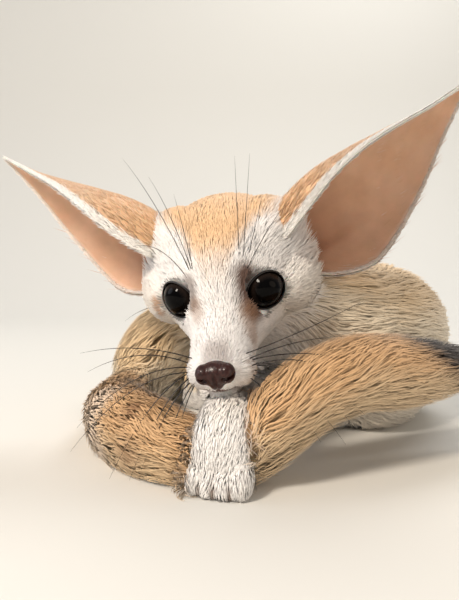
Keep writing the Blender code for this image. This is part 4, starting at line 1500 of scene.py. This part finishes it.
def clawsOf():
    paths = []
    share = np.linspace(0, 1, claw["rings"])
    radii = claw["radius"] * (1 - share**1.4 * 0.88)
    for found in [found for rows in legs.values() for found in toeBalls(rows)]:
        ahead = found["ahead"]
        down = Vector((0, 0, -1)) - ahead * Vector((0, 0, -1)).dot(ahead)
        if down.length < claw["steep"]:  # a paw that hangs curls its claws back
            down = Vector((0, 0.4, 0))
        start = found["centre"] + ahead * (toe["radii"][1] - claw["sunk"]) + Vector((0, 0, claw["lift"]))
        path = np.array(start) + np.array(ahead) * (share * claw["length"])[:, None]
        path += np.array(down) * (claw["drops"] * share**2)[:, None]
        path[:, 2] = np.maximum(path[:, 2], claw["radius"] + 0.1)
        paths.append((path, radii))
    return tubes("claws", paths, 10)


print("whiskers and claws")
whiskers = whiskersOf()
claws = clawsOf()

# materials


def addNode(tree, kind, settings=None, links=None):
    node = tree.nodes.new(kind)
    for name, value in (settings or {}).items():
        if name in node.inputs:
            node.inputs[name].default_value = value
        else:
            setattr(node, name, value)
    for name, socket in (links or {}).items():
        tree.links.new(socket, node.inputs[name])
    return node


def newMaterial(name, **settings):
    made = bpy.data.materials.new(name)
    made.use_nodes = True
    tree = made.node_tree
    shader = tree.nodes["Principled BSDF"]
    for socket, value in settings.items():
        shader.inputs[socket].default_value = value
    return made, tree, shader


def paintedWith(tree, shader, pattern, low, high):  # the painted colour, darker and lighter with a pattern
    tint = addNode(tree, "ShaderNodeAttribute", {"attribute_name": "tint"})
    spread = {"To Min": low, "To Max": high}
    tone = addNode(tree, "ShaderNodeMapRange", spread, {"Value": pattern.outputs["Fac"]})
    links = {"Vector": tint.outputs["Color"], "Scale": tone.outputs["Result"]}
    mixed = addNode(tree, "ShaderNodeVectorMath", {"operation": "SCALE"}, links)
    tree.links.new(mixed.outputs["Vector"], shader.inputs["Base Color"])


def furMaterial():
    # hair lies in fine streaks with a soft bloom at grazing angles
    finish = {"Roughness": 0.62, "Specular IOR Level": 0.28, "Sheen Weight": 0.25, "Sheen Roughness": 0.45}
    made, tree, shader = newMaterial("soft fur", **finish)
    place = addNode(tree, "ShaderNodeTexCoord").outputs["Object"]
    hairs = addNode(tree, "ShaderNodeTexNoise", {"Scale": 1 / (0.9 * mm)}, {"Vector": place})
    paintedWith(tree, shader, hairs, 0.88, 1.12)
    return made


def skinMaterial():
    # bare skin and down under the coat: fine creases about half a millimetre apart
    finish = {"Roughness": 0.6, "Specular IOR Level": 0.3, "Sheen Weight": 0.2}
    finish |= {"Subsurface Weight": 0.25, "Subsurface Scale": 1.5 * mm}
    made, tree, shader = newMaterial("skin and down", **finish)
    place = addNode(tree, "ShaderNodeTexCoord").outputs["Object"]
    fine, coarse = {"Scale": 1 / (0.8 * mm), "Detail": 4.0}, {"Scale": 1 / (7 * mm), "Detail": 3.0}
    creases = addNode(tree, "ShaderNodeTexNoise", fine, {"Vector": place})
    mottle = addNode(tree, "ShaderNodeTexNoise", coarse, {"Vector": place})
    paintedWith(tree, shader, mottle, 0.86, 1.12)
    settings = {"Strength": 0.35, "Distance": 0.3 * mm}
    bump = addNode(tree, "ShaderNodeBump", settings, {"Height": creases.outputs["Fac"]})
    tree.links.new(bump.outputs["Normal"], shader.inputs["Normal"])
    return made


# distance from the middle of the gaze, as a share of the iris angle, and the colour there
irisStops = [
    (0.0, "#030202"),
    (0.48, "#040303"),
    (0.54, "#100c0a"),
    (0.70, "#221a16"),
    (0.80, "#120d0b"),
    (0.88, "#060403"),
]


def eyeMaterial():
    # a wet eye: black pupil, dark brown iris with rays, near-black edge
    finish = {"Roughness": 0.3, "Specular IOR Level": 0.0}
    finish |= {"Coat Weight": 1.0, "Coat Roughness": 0.02, "Coat IOR": 1.17}
    made, tree, shader = newMaterial("wet eye", **finish)
    spot = addNode(tree, "ShaderNodeAttribute", {"attribute_name": "irisMap"})
    parts = addNode(tree, "ShaderNodeSeparateColor", None, {"Color": spot.outputs["Color"]})
    rays = addNode(tree, "ShaderNodeTexNoise", {"Scale": 14.0, "Detail": 3.0})
    around = {"X": parts.outputs["Green"], "Y": parts.outputs["Blue"]}
    ring = addNode(tree, "ShaderNodeCombineXYZ", None, around)
    tree.links.new(ring.outputs["Vector"], rays.inputs["Vector"])
    spread = {"To Min": -0.05, "To Max": 0.05}
    wobble = addNode(tree, "ShaderNodeMapRange", spread, {"Value": rays.outputs["Fac"]})
    away = addNode(tree, "ShaderNodeMath", {"operation": "ADD"})
    tree.links.new(parts.outputs["Red"], away.inputs[0])
    tree.links.new(wobble.outputs["Result"], away.inputs[1])
    rings = addNode(tree, "ShaderNodeValToRGB", None, {"Fac": away.outputs["Value"]})
    while len(rings.color_ramp.elements) < len(irisStops):
        rings.color_ramp.elements.new(0.5)
    for element, (place, value) in zip(rings.color_ramp.elements, irisStops):
        element.position = place
        element.color = (*linear(value), 1.0)
    tree.links.new(rings.outputs["Color"], shader.inputs["Base Color"])
    return made


def patternMaterial(name, low, high, size, bumpDeep, **settings):
    made, tree, shader = newMaterial(name, **settings)
    place = addNode(tree, "ShaderNodeTexCoord")
    settings = {"feature": "SMOOTH_F1", "Scale": 1 / (size * mm)}
    cells = addNode(tree, "ShaderNodeTexVoronoi", settings, {"Vector": place.outputs["Object"]})
    # each cell is lighter in the middle and darker at its edges, where the bump sinks: painted shade in the
    # grooves
    shade = addNode(tree, "ShaderNodeValToRGB", None, {"Fac": cells.outputs["Distance"]})
    shade.color_ramp.elements[0].color = (*linear(high), 1.0)
    shade.color_ramp.elements[1].color = (*linear(low), 1.0)
    tree.links.new(shade.outputs["Color"], shader.inputs["Base Color"])
    settings = {"Strength": 0.7, "Distance": bumpDeep * mm, "invert": True}
    bump = addNode(tree, "ShaderNodeBump", settings, {"Height": cells.outputs["Distance"]})
    tree.links.new(bump.outputs["Normal"], shader.inputs["Normal"])
    return made


print("materials")
fur, skinFinish, wetEye = furMaterial(), skinMaterial(), eyeMaterial()
# pebbled leather, damp enough for soft lights, its grain drawn at 0.9 mm so that it shows, with painted
# shade in the grooves between the pebbles
dampFinish = {"Roughness": 0.38, "Specular IOR Level": 0.25, "Coat Weight": 0.22, "Coat Roughness": 0.18}
noseLeather = patternMaterial("damp nose leather", "#180908", "#3c1b15", 0.9, 0.25, **dampFinish)
# bare skin at lids and lips has a dull wet edge, claws shine like polished horn, whiskers like dark wire
lidSkin = patternMaterial("bare lid skin", "#0a0605", "#190f0c", 0.6, 0.08, Roughness=0.45)
lipSkin = patternMaterial("lip skin", "#3a2420", "#5d4038", 0.6, 0.06, Roughness=0.45)
clawHorn = patternMaterial("pale horn", "#8f7b68", "#d9cbb8", 1.4, 0.03, Roughness=0.3)
whiskerHair = patternMaterial("stiff black hair", "#070505", "#17100d", 0.5, 0.01, Roughness=0.4)

pieces = [
    (skin, skinFinish, "coat_cream"),
    (nose, noseLeather, "nose_skin"),
    (lipPiece, lipSkin, "nose_skin"),
    (claws, clawHorn, "nose_skin"),
    (whiskers, whiskerHair, "coat_dark"),
]
pieces += [(eyePieces[side], wetEye, "eye") for side in (-1, 1)]
pieces += [(rimPieces[side], lidSkin, "eye") for side in (-1, 1)]
pieces += [(piece, fur, "coat_sandy") for piece in coatPieces]
for side, piece in eyePieces.items():
    piece.name = piece.data.name = sideName("eyeball", side)
for piece, finish, slotName in pieces:
    piece.data.materials.clear()
    piece.data.materials.append(finish)
    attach(piece, "root")
fleshNodes = ["head", "neck", "torso_front", "torso_rear"]
fleshNodes += ["tail_base", "tail_bend", "tail_front", "tail_tip"]
fleshNodes += [f"{part}_{side}" for part in ("ear", "leg_front", "leg_hind") for side in ("left", "right")]
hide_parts(*fleshNodes)
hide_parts("nose")
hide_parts("eye_left")
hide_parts("eye_right")

# floor, light and camera

studio = {
    "floorHalf": 1.6,
    "wallAt": 1.1,
    "coveRadius": 0.5,
    "coveSteps": 12,
    "wallHigh": 1.6,
    "paper": "#dcdad4",
    "aim": (-0.06, 0.0, 0.06),
    "key": {"at": (-0.75, -0.85, 0.95), "size": 0.3, "power": 17.0, "colour": "#fff3e4"},
    "fill": {"at": (0.95, -0.75, 0.45), "size": 0.9, "power": 3.0, "colour": "#ffe9cf"},
    "side": {"at": (-1.3, -0.1, 0.6), "size": 0.8, "power": 3.5, "colour": "#eef2ff"},
    "rim": {"at": (0.35, 0.7, 1.25), "size": 0.8, "power": 9.0, "colour": "#ffffff"},
    "sky": ("#e9ecef", 0.42),
}


def backdrop():
    half, wall, radius, high = (studio[key] for key in ("floorHalf", "wallAt", "coveRadius", "wallHigh"))
    profile = [(-half, 0.0)]
    for angle in np.linspace(0, math.pi / 2, studio["coveSteps"] + 1):
        profile.append((wall - radius + radius * math.sin(angle), radius - radius * math.cos(angle)))
    profile.append((wall, high))
    points = np.array([(x, y, z) for y, z in profile for x in (-half, half)]) / mm
    faces = [(2 * i, 2 * i + 1, 2 * i + 3, 2 * i + 2) for i in range(len(profile) - 1)]
    obj = meshPiece("paperSweep", points, faces)
    made, _, shader = newMaterial("matt paper", Roughness=0.9)  # uncoated, so that no lamp shows in it
    shader.inputs["Base Color"].default_value = (*linear(studio["paper"]), 1.0)
    obj.data.materials.append(made)
    return obj


def lamp(name, settings):
    light = bpy.data.lights.new(name, "AREA")
    light.shape, light.size = "DISK", settings["size"]
    light.energy = settings["power"]
    light.color = linear(settings["colour"])
    obj = bpy.data.objects.new(name, light)
    bpy.context.scene.collection.objects.link(obj)
    obj.location = settings["at"]
    obj.rotation_euler = (Vector(studio["aim"]) - obj.location).to_track_quat("-Z", "Y").to_euler()


print("studio")
backdrop()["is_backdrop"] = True
for name in ("key", "fill", "side", "rim"):
    lamp(name + "Light", studio[name])
world = bpy.data.worlds.new("studioWorld")
bpy.context.scene.world = world
world.use_nodes = True
sky = world.node_tree.nodes["Background"]
sky.inputs["Color"].default_value = (*linear(studio["sky"][0]), 1.0)
sky.inputs["Strength"].default_value = studio["sky"][1]
bpy.context.scene.view_settings.view_transform = "Standard"

# eyesAt: how many pixels the picture's middle lies right of and below the eyes, of its height
view = {
    "lens": 36.0,
    "sensor": 36.0,
    "distance": 250.0,
    "pitch": 3.0,
    "eyesAt": (6.5, 5.6),
    "frameHigh": 600.0,
}


def placeCamera():
    pitch = math.radians(view["pitch"])
    look = Vector((0, math.cos(pitch), -math.sin(pitch)))
    up = Vector((0, math.sin(pitch), math.cos(pitch)))
    middle = headPlace @ Vector((0, 0, 0))
    right, down = (pixels / view["frameHigh"] * view["distance"] for pixels in view["eyesAt"])
    data = bpy.data.cameras.new("camera")
    data.lens, data.sensor_width, data.clip_start = view["lens"], view["sensor"], 0.01
    camera = bpy.data.objects.new("camera", data)
    bpy.context.scene.collection.objects.link(camera)
    camera.location = (middle - look * view["distance"] + Vector((right, 0, 0)) - up * down) * mm
    camera.rotation_euler = look.to_track_quat("-Z", "Y").to_euler()
    bpy.context.scene.camera = camera


placeCamera()
total = sum(len(face.vertices) - 2 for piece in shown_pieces() for face in piece.data.polygons)
print("triangles in all", total)
